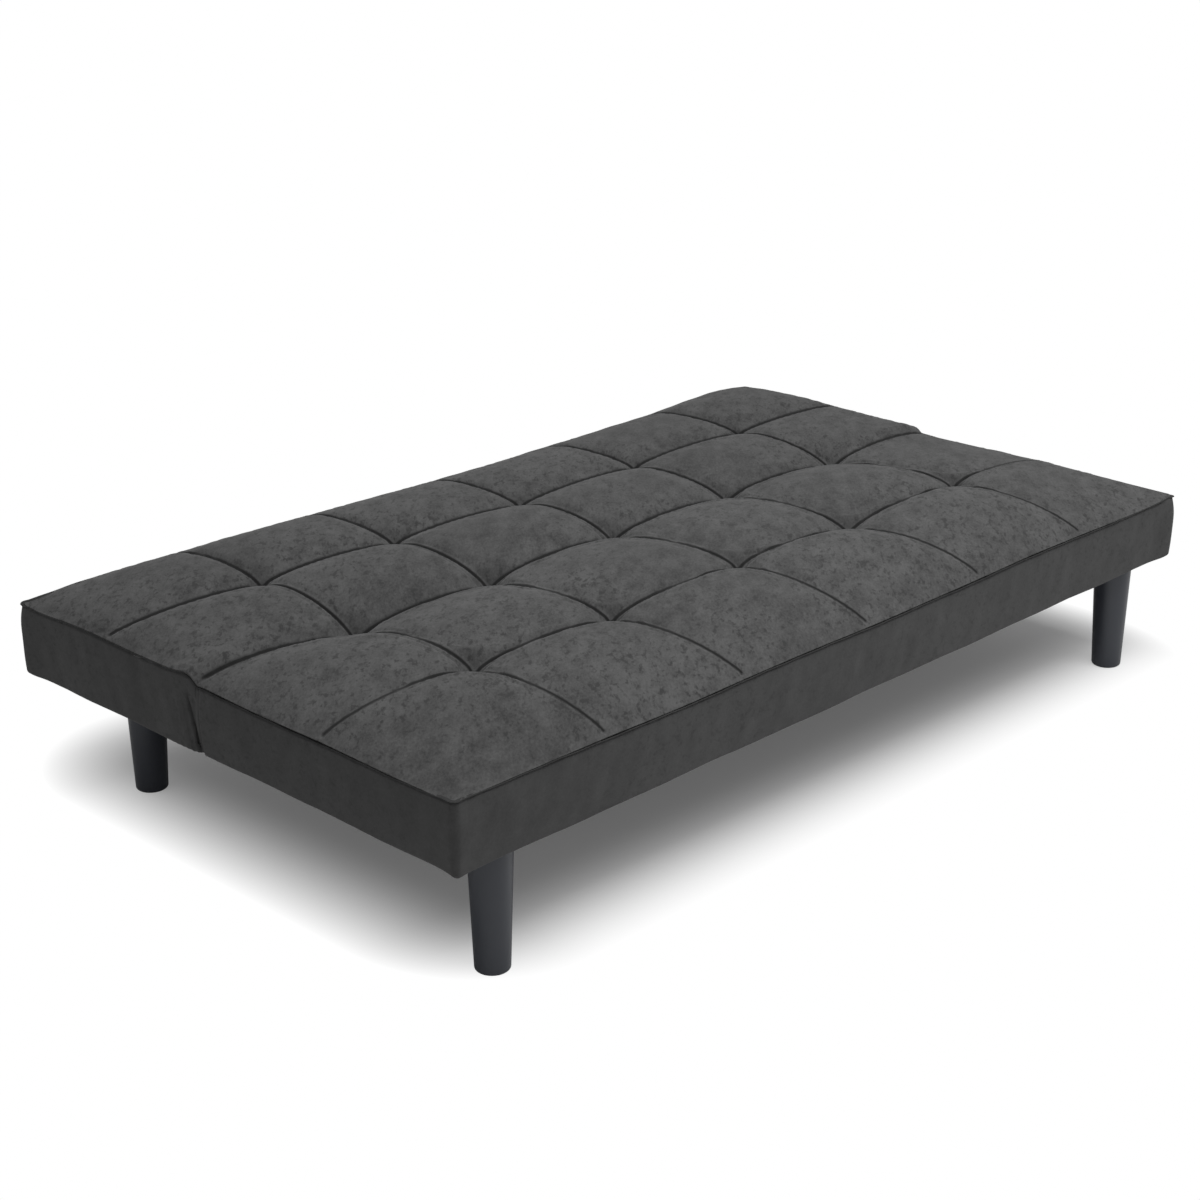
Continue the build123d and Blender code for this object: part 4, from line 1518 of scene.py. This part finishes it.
@dataclass
class Welt:
    """Flanged seam that stands out between top panel and band."""

    sizes: BedSizes
    edge: SewnEdge
    width: float = 9 * MM
    thickness: float = 1.7 * MM
    sink: float = 0.9 * MM
    fullness: float = 0.6
    section_points: int = 12
    tips: dict[Half, tuple[float, float]] = field(
        default_factory=lambda: {Half.SEAT: (1.5, 5.0), Half.BACK: (4.0, 0.0)}
    )
    tip_reach: float = 8 * MM
    waves: Waves = ((0.4 * MM, 0.21, 0.1), (0.3 * MM, 0.074, 0.4))
    right_drop: float = 2.5 * MM
    drop_start: float = 20 * MM
    drop_run: float = 40 * MM
    rear_rise: float = 1.6 * MM
    stop: float = 10 * MM
    overlap: float = 3 * MM
    bridge_points: int = 25

    def _section(self, place: np.ndarray, normal: np.ndarray, level: np.ndarray, out: np.ndarray) -> np.ndarray:
        """Carry a flattened oval along a path: a circle squeezed in height, with its sides kept full.

        Args:
            place: Places along the path.
            normal: Outward direction at each place.
            level: Height at each place.
            out: Outward shift at each place.

        Returns:
            Grid of places, one row for each step along the path.
        """
        turn = np.linspace(0, 2 * np.pi, self.section_points, endpoint=False)
        across = self.width / 2 * (np.cos(turn) - 1)[None, :] + out[:, None]
        up = self.thickness / 2 * np.sign(np.sin(turn)) * np.abs(np.sin(turn)) ** self.fullness
        flat = place[:, None, :] + normal[:, None, :] * across[..., None]
        return np.concatenate([flat, (level[:, None] + up[None, :])[..., None]], axis=-1)

    def _piece(self, name: str, points: np.ndarray, finish: bpy.types.Material) -> bpy.types.Object:
        """Close a carried section at both ends.

        Args:
            name: Name of the piece.
            points: Sections along the path.
            finish: Welt cloth.

        Returns:
            The piece.
        """
        rows, columns = points.shape[:2]
        faces = grid_faces(rows, columns, False, True).tolist()
        faces += [list(range(columns)), list(range((rows - 1) * columns, rows * columns))[::-1]]
        piece = make_piece(name, points, faces, finish)
        return piece

    def flange(self, half: Half, finish: bpy.types.Material) -> bpy.types.Object:
        """Welt along the three outer sides of one half.

        Args:
            half: Which half.
            finish: Welt cloth.

        Returns:
            The welt.
        """
        path = EdgePath(self.sizes, half)
        place, normal = path.trace()
        beside = np.abs(place[:, 1] - self.sizes.split)
        outer = np.flatnonzero(beside > self.stop)
        place, normal, beside = place[outer], normal[outer], beside[outer]
        along = path.along(place)
        level = self.sizes.welt_level - self.sink + self.edge.lift(beside, half, place[:, 0])
        right, rear = np.clip(normal, 0, 1).T
        level = level + (1 - right) * ripple(along, self.waves)
        dropped = right**2 * np.clip((beside - self.drop_start) / self.drop_run, 0, 1) * (half is Half.SEAT)
        level = level - self.right_drop * dropped + self.rear_rise * rear
        out = path.at_corner(place, self.tip_reach, self.tips[half])
        points = self._section(place, normal, level, out)
        welt = self._piece(f"{half.body}_welt_flange", points[::-1] if half is Half.SEAT else points, finish)
        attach(welt, half.body)
        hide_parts(f"{half.body}_welt")
        return welt

    def bridge(self, hand: Hand, finish: bpy.types.Material) -> bpy.types.Object:
        """Short welt over the split at one end.

        Args:
            hand: Which end.
            finish: Welt cloth.

        Returns:
            The bridging welt.
        """
        reach = self.stop + self.overlap
        across = np.linspace(-reach, reach, self.bridge_points)
        seat_lift, back_lift = (self.edge.lift(np.abs(across), half, hand.value) for half in Half)
        lift = np.where(across < 0, seat_lift, back_lift)
        place = np.stack([np.full_like(across, hand.value * self.sizes.half_length), self.sizes.split + across], -1)
        normal = np.tile([float(hand.value), 0.0], (len(across), 1))
        level = self.sizes.welt_level - self.sink + lift
        points = self._section(place, normal, level, np.zeros_like(across))
        welt = self._piece(f"{hand.name.lower()}_welt_bridge", points if hand is Hand.RIGHT else points[::-1], finish)
        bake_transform(welt)
        return welt


@dataclass
class EndGusset:
    """Cloth that closes the split at one end: flush with the seat's band, tucked into the crease beside the back's."""

    sizes: BedSizes
    band: SideBand
    hand: Hand
    seat_lap: float = 11 * MM
    half_width: float = 13 * MM
    inset: float = 0.7 * MM
    roll: float = 5 * MM
    roll_sharpness: float = 1.6
    tuck: float = 1.5 * MM
    ripple_height: float = 0.5 * MM
    ripple_pitch: float = 15 * MM
    ripple_lean: float = 2.0
    thickness: float = 1.2 * MM
    clearance: float = 1 * MM
    top_drop: float = 2.8 * MM
    rows: int = 34
    steps: int = 48
    crowding: float = 0.6

    def build(self, finish: bpy.types.Material) -> bpy.types.Object:
        """Make the gusset as a sheet from under the seat's band to the crease.

        Height runs from the lower edge to just under the welt. The sheet follows the band's own section, a little
        inside it, with faint upright ripples, and near the crease it rolls in along a parabola.

        Args:
            finish: Cover cloth.

        Returns:
            The gusset.
        """
        fold = self.band.fold
        columns = clustered(self.steps, self.crowding)
        up, share = np.meshgrid(np.linspace(0, 1, self.rows), columns, indexing="ij")
        low = self.sizes.bottoms[Half.SEAT] + self.clearance
        lift = float(self.band.edge.lift(np.array(0.0), Half.SEAT, self.hand.value))
        top = self.sizes.welt_level + lift - self.top_drop
        reach = fold.line(up) + self.tuck
        across = -self.seat_lap + share * (reach + self.seat_lap)
        rolled = np.clip(1 - (reach - across) / self.roll, 0, 1) ** self.roll_sharpness
        wave = np.sin(2 * np.pi * across / self.ripple_pitch + self.ripple_lean * up)
        ripples = self.ripple_height * wave * np.sin(np.pi * share)
        sunk = self.inset + rolled * fold.depth(up)
        outward = np.maximum(self.band.face(up) - sunk + ripples, self.clearance - self.band.wall)
        x = self.hand.value * (self.sizes.half_length + outward)
        outer = np.stack([x, self.sizes.split + across, low + up * (top - low)], axis=-1)
        inner = outer - np.array([self.hand.value * self.thickness, 0, 0])
        # Painted shade of the crease, stored as seam colour.
        seam = fold.shade(across - fold.line(up), up)
        if self.hand is Hand.RIGHT:
            outer, inner, seam = outer[:, ::-1], inner[:, ::-1], seam[:, ::-1]
        name = f"{self.hand.name.lower()}_end_gusset"
        gusset = make_piece(f"{name}_cloth", *lidded(outer, inner), finish, seam, BAND_NAP)
        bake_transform(gusset)
        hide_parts(name)
        return gusset


@dataclass
class FoamSlab:
    """Foam under one quilted top, pressed down beneath the tufts and cut out round the hinges."""

    sizes: BedSizes
    shape: QuiltShape
    half: Half
    clearance: float = 6 * MM
    bend_room: float = 18 * MM
    bend_reach: float = 56 * MM
    hinge_inset: float = 59 * MM
    hinge_depth: float = 58 * MM
    notch_step: float = 1 * MM
    end_steps: int = 6
    steps: int = 241
    rows: int = 60
    crowding: float = 0.5

    def build(self, finish: bpy.types.Material) -> bpy.types.Object:
        """Make the slab: its top is the lower of the CAD slab's top and the cover less a clearance.

        Beside the split it slopes down, which leaves room for the fold cloth to bend.

        Args:
            finish: Foam.

        Returns:
            The slab.
        """
        low, high = (np.array(corner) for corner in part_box(f"{self.half.body}_foam"))
        inner, outer = sorted(abs(corner[1] - self.sizes.split) for corner in (low, high))
        notch = self.sizes.half_length - self.hinge_inset
        beside = notch - self.notch_step
        runs = ((low[0], -notch, self.end_steps), (-beside, beside, self.steps), (notch, high[0], self.end_steps))
        along = np.concatenate([np.linspace(*run) for run in runs])
        x, share = np.meshgrid(along, clustered(self.rows, self.crowding), indexing="ij")
        start = np.where(np.abs(x) > notch - self.notch_step / 2, self.hinge_depth, inner)
        distance = start + share * (outer - start)
        top = np.minimum(high[2], self.shape.height(x, distance, self.half)) - self.clearance
        top = top - self.bend_room * nearness(distance, self.bend_reach)
        y = self.sizes.split + self.half.value * distance
        upper = np.stack([x, y, top], axis=-1)
        lower = np.stack([x, y, np.full_like(x, low[2])], axis=-1)
        if self.half is Half.SEAT:
            upper, lower = upper[:, ::-1], lower[:, ::-1]
        slab = make_piece(f"{self.half.body}_foam_slab", *lidded(upper, lower), finish)
        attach(slab, self.half.body)
        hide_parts(f"{self.half.body}_foam")
        return slab


@dataclass
class TuftTies:
    """Twines that pull the tufts of one half down to its slats."""

    sizes: BedSizes
    shape: QuiltShape
    half: Half
    radius: float = 1.5 * MM
    pad_radius: float = 6 * MM
    pad_height: float = 2 * MM
    pad_slope: float = 0.4 * MM
    under_cover: float = 2.5 * MM
    sides: int = 10

    def build(self, finish: bpy.types.Material) -> bpy.types.Object:
        """Make the twines: a straight round bar under each tuft, with a flat pad on the slat.

        Args:
            finish: Twine.

        Returns:
            The twines.
        """
        row = self.sizes.depth(self.half) / 2
        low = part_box(f"{self.half.body}_tuft_ties")[0][2]
        seams = np.arange(1, self.sizes.columns) * self.sizes.column_width - self.sizes.half_length
        top = self.shape.height(seams, np.full_like(seams, row), self.half) - self.under_cover
        turn = np.linspace(0, 2 * np.pi, self.sides, endpoint=False)
        ring = np.stack([np.cos(turn), np.sin(turn)], axis=-1)
        reach = np.array([self.pad_radius, self.pad_radius, self.radius, self.radius])
        pad = low + self.pad_height
        rise = np.stack([*(np.full_like(top, level) for level in (low, pad, pad + self.pad_slope)), top])
        centre = np.stack([seams, np.full_like(seams, self.sizes.split + self.half.value * row)], axis=-1)
        flat = centre[:, None, None, :] + reach[None, :, None, None] * ring[None, None, :, :]
        height = np.broadcast_to(rise.T[:, :, None, None], flat.shape[:3] + (1,))
        points = np.concatenate([flat, height], axis=-1)
        count = len(reach) * self.sides
        bottom, lid = np.arange(self.sides)[::-1].tolist(), np.arange(count - self.sides, count).tolist()
        each = [*grid_faces(len(reach), self.sides, False, True)[:, ::-1].tolist(), bottom, lid]
        faces = [[corner + number * count for corner in face] for number in range(len(seams)) for face in each]
        ties = make_piece(f"{self.half.body}_twines", points, faces, finish)
        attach(ties, self.half.body)
        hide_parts(f"{self.half.body}_tuft_ties")
        return ties


@dataclass
class DustCover:
    """Cloth stapled under one half's frame, which hangs a little between the rails."""

    half: Half
    sag: float = 3 * MM
    hang: float = 0.72
    roundness: float = 0.6
    slant: float = 0.3
    waves: Waves = ((0.5 * MM, 0.19, 0.0), (0.3 * MM, 0.071, 0.3))
    steps: tuple[int, int] = (121, 41)

    def build(self, finish: bpy.types.Material) -> bpy.types.Object:
        """Make the cloth: flat on its edges, hanging in a product of two sine arches with faint ripples.

        Args:
            finish: Dust cloth.

        Returns:
            The dust cover.
        """
        low, high = (np.array(corner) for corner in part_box(f"{self.half.body}_dust_cover"))
        sides = [np.linspace(low[axis], high[axis], count) for axis, count in enumerate(self.steps)]
        x, y = np.meshgrid(*sides, indexing="ij")
        run = np.sin(np.pi * np.clip((x + self.hang) / (2 * self.hang), 0, 1)) ** self.roundness
        arch = run * np.sin(np.pi * (y - low[1]) / (high[1] - low[1]))
        drop = arch * (self.sag + ripple(x + self.slant * y, self.waves))
        upper = np.stack([x, y, high[2] - drop], axis=-1)
        lower = np.stack([x, y, low[2] - drop], axis=-1)
        cover = make_piece(f"{self.half.body}_dust_cloth", *lidded(upper, lower), finish)
        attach(cover, self.half.body)
        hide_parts(f"{self.half.body}_dust_cover")
        return cover


class HardParts:
    """CAD nodes that stay in view, dressed by their material slots."""

    def dress(self, wardrobe: Wardrobe) -> int:
        """Give every CAD node the finish of its slot.

        Args:
            wardrobe: Where the materials come from.

        Returns:
            How many nodes were dressed.
        """
        rows = frame["record"]["subparts"]
        for row in rows:
            node = frame["nodes"][row["node"]]
            node.data.materials.clear()
            node.data.materials.append(wardrobe.of(row["material_slot"]))
        return len(rows)


# Studio and camera


@dataclass
class Studio:
    """Flat pale floor, grey surround, soft lamp and the photo's camera."""

    floor_half: float = 40.0
    camera_place: tuple[float, float, float] = (-2.7909, -2.6855, 1.7165)
    turn: float = -0.8043
    tilt: float = 0.3525
    lens: float = 71.48
    sensor: float = 36.0
    shift: tuple[float, float] = (-0.0275, -0.0334)
    surround: float = 0.29
    bounce: float = 0.8
    shade_low: tuple[float, float] = (-0.66, -0.29)
    shade_high: tuple[float, float] = (0.88, 0.43)
    fade_low: tuple[float, float] = (0.235, 0.26)
    fade_high: tuple[float, float] = (0.11, 0.235)
    paleness: float = 0.95
    shadow_lift: float = 0.09
    aim: tuple[float, float, float] = (0.0, 0.0, 0.25)

    def floor(self) -> None:
        """Flat pale floor that takes the shadow under the bed and shows white outside its outline."""
        bench = NodeBench.material("pale floor")
        seen = bench.background_seen()
        colour = bench.blend_colours(seen, dimmed(WHITE, self.bounce), dimmed(WHITE, self.paleness))
        matte = bench.node("ShaderNodeBsdfDiffuse", {}, {"Color": colour})
        white = bench.node("ShaderNodeEmission", {}, {"Color": WHITE, "Strength": 1.0})
        kind = "ShaderNodeVectorMath"
        outside: object = (0.0, 0.0, 0.0)
        for limit, fade, way in ((self.shade_low, self.fade_low, -1), (self.shade_high, self.fade_high, 1)):
            past = bench.node(kind, {"operation": "SUBTRACT"}, {0: bench.place(), 1: (*limit, 0.0)})
            scale = (way / fade[0], way / fade[1], 0.0)
            share = bench.node(kind, {"operation": "MULTIPLY"}, {0: past, 1: scale})
            outside = bench.node(kind, {"operation": "MAXIMUM"}, {0: share, 1: outside})
        far = bench.node(kind, {"operation": "LENGTH"}, {0: outside}, "Value").clipped()
        straight = bench.node("ShaderNodeLightPath", {}, {}, "Is Camera Ray")
        # Camera rays see white emission: a small share everywhere, painted light that lifts the shadow under the bed,
        # and a growing share outside the shade box, which paints the outer fade of the shadow.
        whiteness = straight * (self.shadow_lift + (1 - self.shadow_lift) * far * far)
        shader = bench.node("ShaderNodeMixShader", {}, {0: whiteness, 1: matte, 2: white})
        bench.node("ShaderNodeOutputMaterial", {}, {"Surface": shader})
        span = self.floor_half
        corners = np.array([[-span, -span, 0], [span, -span, 0], [span, span, 0], [-span, span, 0]])
        make_piece("floor", corners, [[0, 1, 2, 3]], bench.owner)

    def world(self) -> None:
        """Grey surround for light, white where it is seen."""
        bench = NodeBench(bpy.data.worlds.new("surround"))
        strength = self.surround + (1 - self.surround) * bench.background_seen()
        light = bench.node("ShaderNodeBackground", {}, {"Color": WHITE, "Strength": strength})
        bench.node("ShaderNodeOutputWorld", {}, {"Surface": light})
        bpy.context.scene.world = bench.owner

    @staticmethod
    def _stand(right: np.ndarray, back: np.ndarray, place: tuple[float, float, float]) -> Matrix:
        """Matrix of a camera or lamp from its right and backward axes and its place."""
        up = np.cross(back, right)
        return Matrix([[right[row], up[row], back[row], place[row]] for row in range(3)] + [[0, 0, 0, 1]])

    def lamp(self, name: str, place: tuple[float, float, float], size: float, power: float) -> None:
        """Square soft lamp aimed at the bed's middle.

        Args:
            name: Name of the lamp.
            place: Where it hangs.
            size: Length of its side.
            power: Watts.
        """
        data = bpy.data.lights.new(name, "AREA")
        data.size = size
        data.energy = power
        lamp = bpy.data.objects.new(name, data)
        back = np.array(place) - np.array(self.aim)
        back = back / np.linalg.norm(back)
        side = np.cross((0.0, 1.0, 0.0), back)
        lamp.matrix_world = self._stand(side / np.linalg.norm(side), back, place)
        bpy.context.scene.collection.objects.link(lamp)

    def camera(self) -> None:
        """Camera at the photo's place, with its shift."""
        data = bpy.data.cameras.new("photo camera")
        data.lens = self.lens
        data.sensor_width = self.sensor
        data.sensor_fit = "HORIZONTAL"
        data.shift_x, data.shift_y = self.shift
        level = math.cos(self.tilt)
        back = np.array([math.sin(self.turn) * level, -math.cos(self.turn) * level, math.sin(self.tilt)])
        right = np.array([math.cos(self.turn), math.sin(self.turn), 0.0])
        camera = bpy.data.objects.new("photo camera", data)
        camera.matrix_world = self._stand(right, back, self.camera_place)
        bpy.context.scene.collection.objects.link(camera)
        bpy.context.scene.camera = camera

    def build(self) -> None:
        """Set up floor, surround, lamp and camera."""
        self.floor()
        self.world()
        self.lamp("softbox", place=(0.25, -0.8, 2.4), size=2.0, power=49)
        self.camera()
        bpy.context.scene.view_settings.view_transform = "Standard"


def main() -> None:
    """Build the pieces in order and report each one."""
    logging.basicConfig(level=logging.INFO, format="%(message)s")
    wardrobe = Wardrobe(FINISHES)
    log.info("dressed %d frame nodes", HardParts().dress(wardrobe))
    sizes = BedSizes()
    edge = SewnEdge(sizes)
    shape = QuiltShape(sizes, edge)
    welt = Welt(sizes, edge)
    cloth, welt_cloth = wardrobe.of("cover_cloth"), wardrobe.of("welt_cloth")
    pieces = QuiltedCover(sizes, shape, ClothRelax()).build(cloth)
    for half in Half:
        pieces.append(SideBand(sizes, edge, half).build(cloth))
        pieces.append(welt.flange(half, welt_cloth))
        pieces.append(FoamSlab(sizes, shape, half).build(wardrobe.of("foam")))
        pieces.append(TuftTies(sizes, shape, half).build(wardrobe.of("twine")))
        pieces.append(DustCover(half).build(wardrobe.of("dust_cloth")))
    for hand in Hand:
        pieces.append(welt.bridge(hand, welt_cloth))
        pieces.append(EndGusset(sizes, SideBand(sizes, edge, Half.SEAT), hand).build(cloth))
    for piece in pieces:
        log.info("%s: %d faces", piece.name, len(piece.data.polygons))
    Studio().build()


if __name__ == "__main__":
    main()
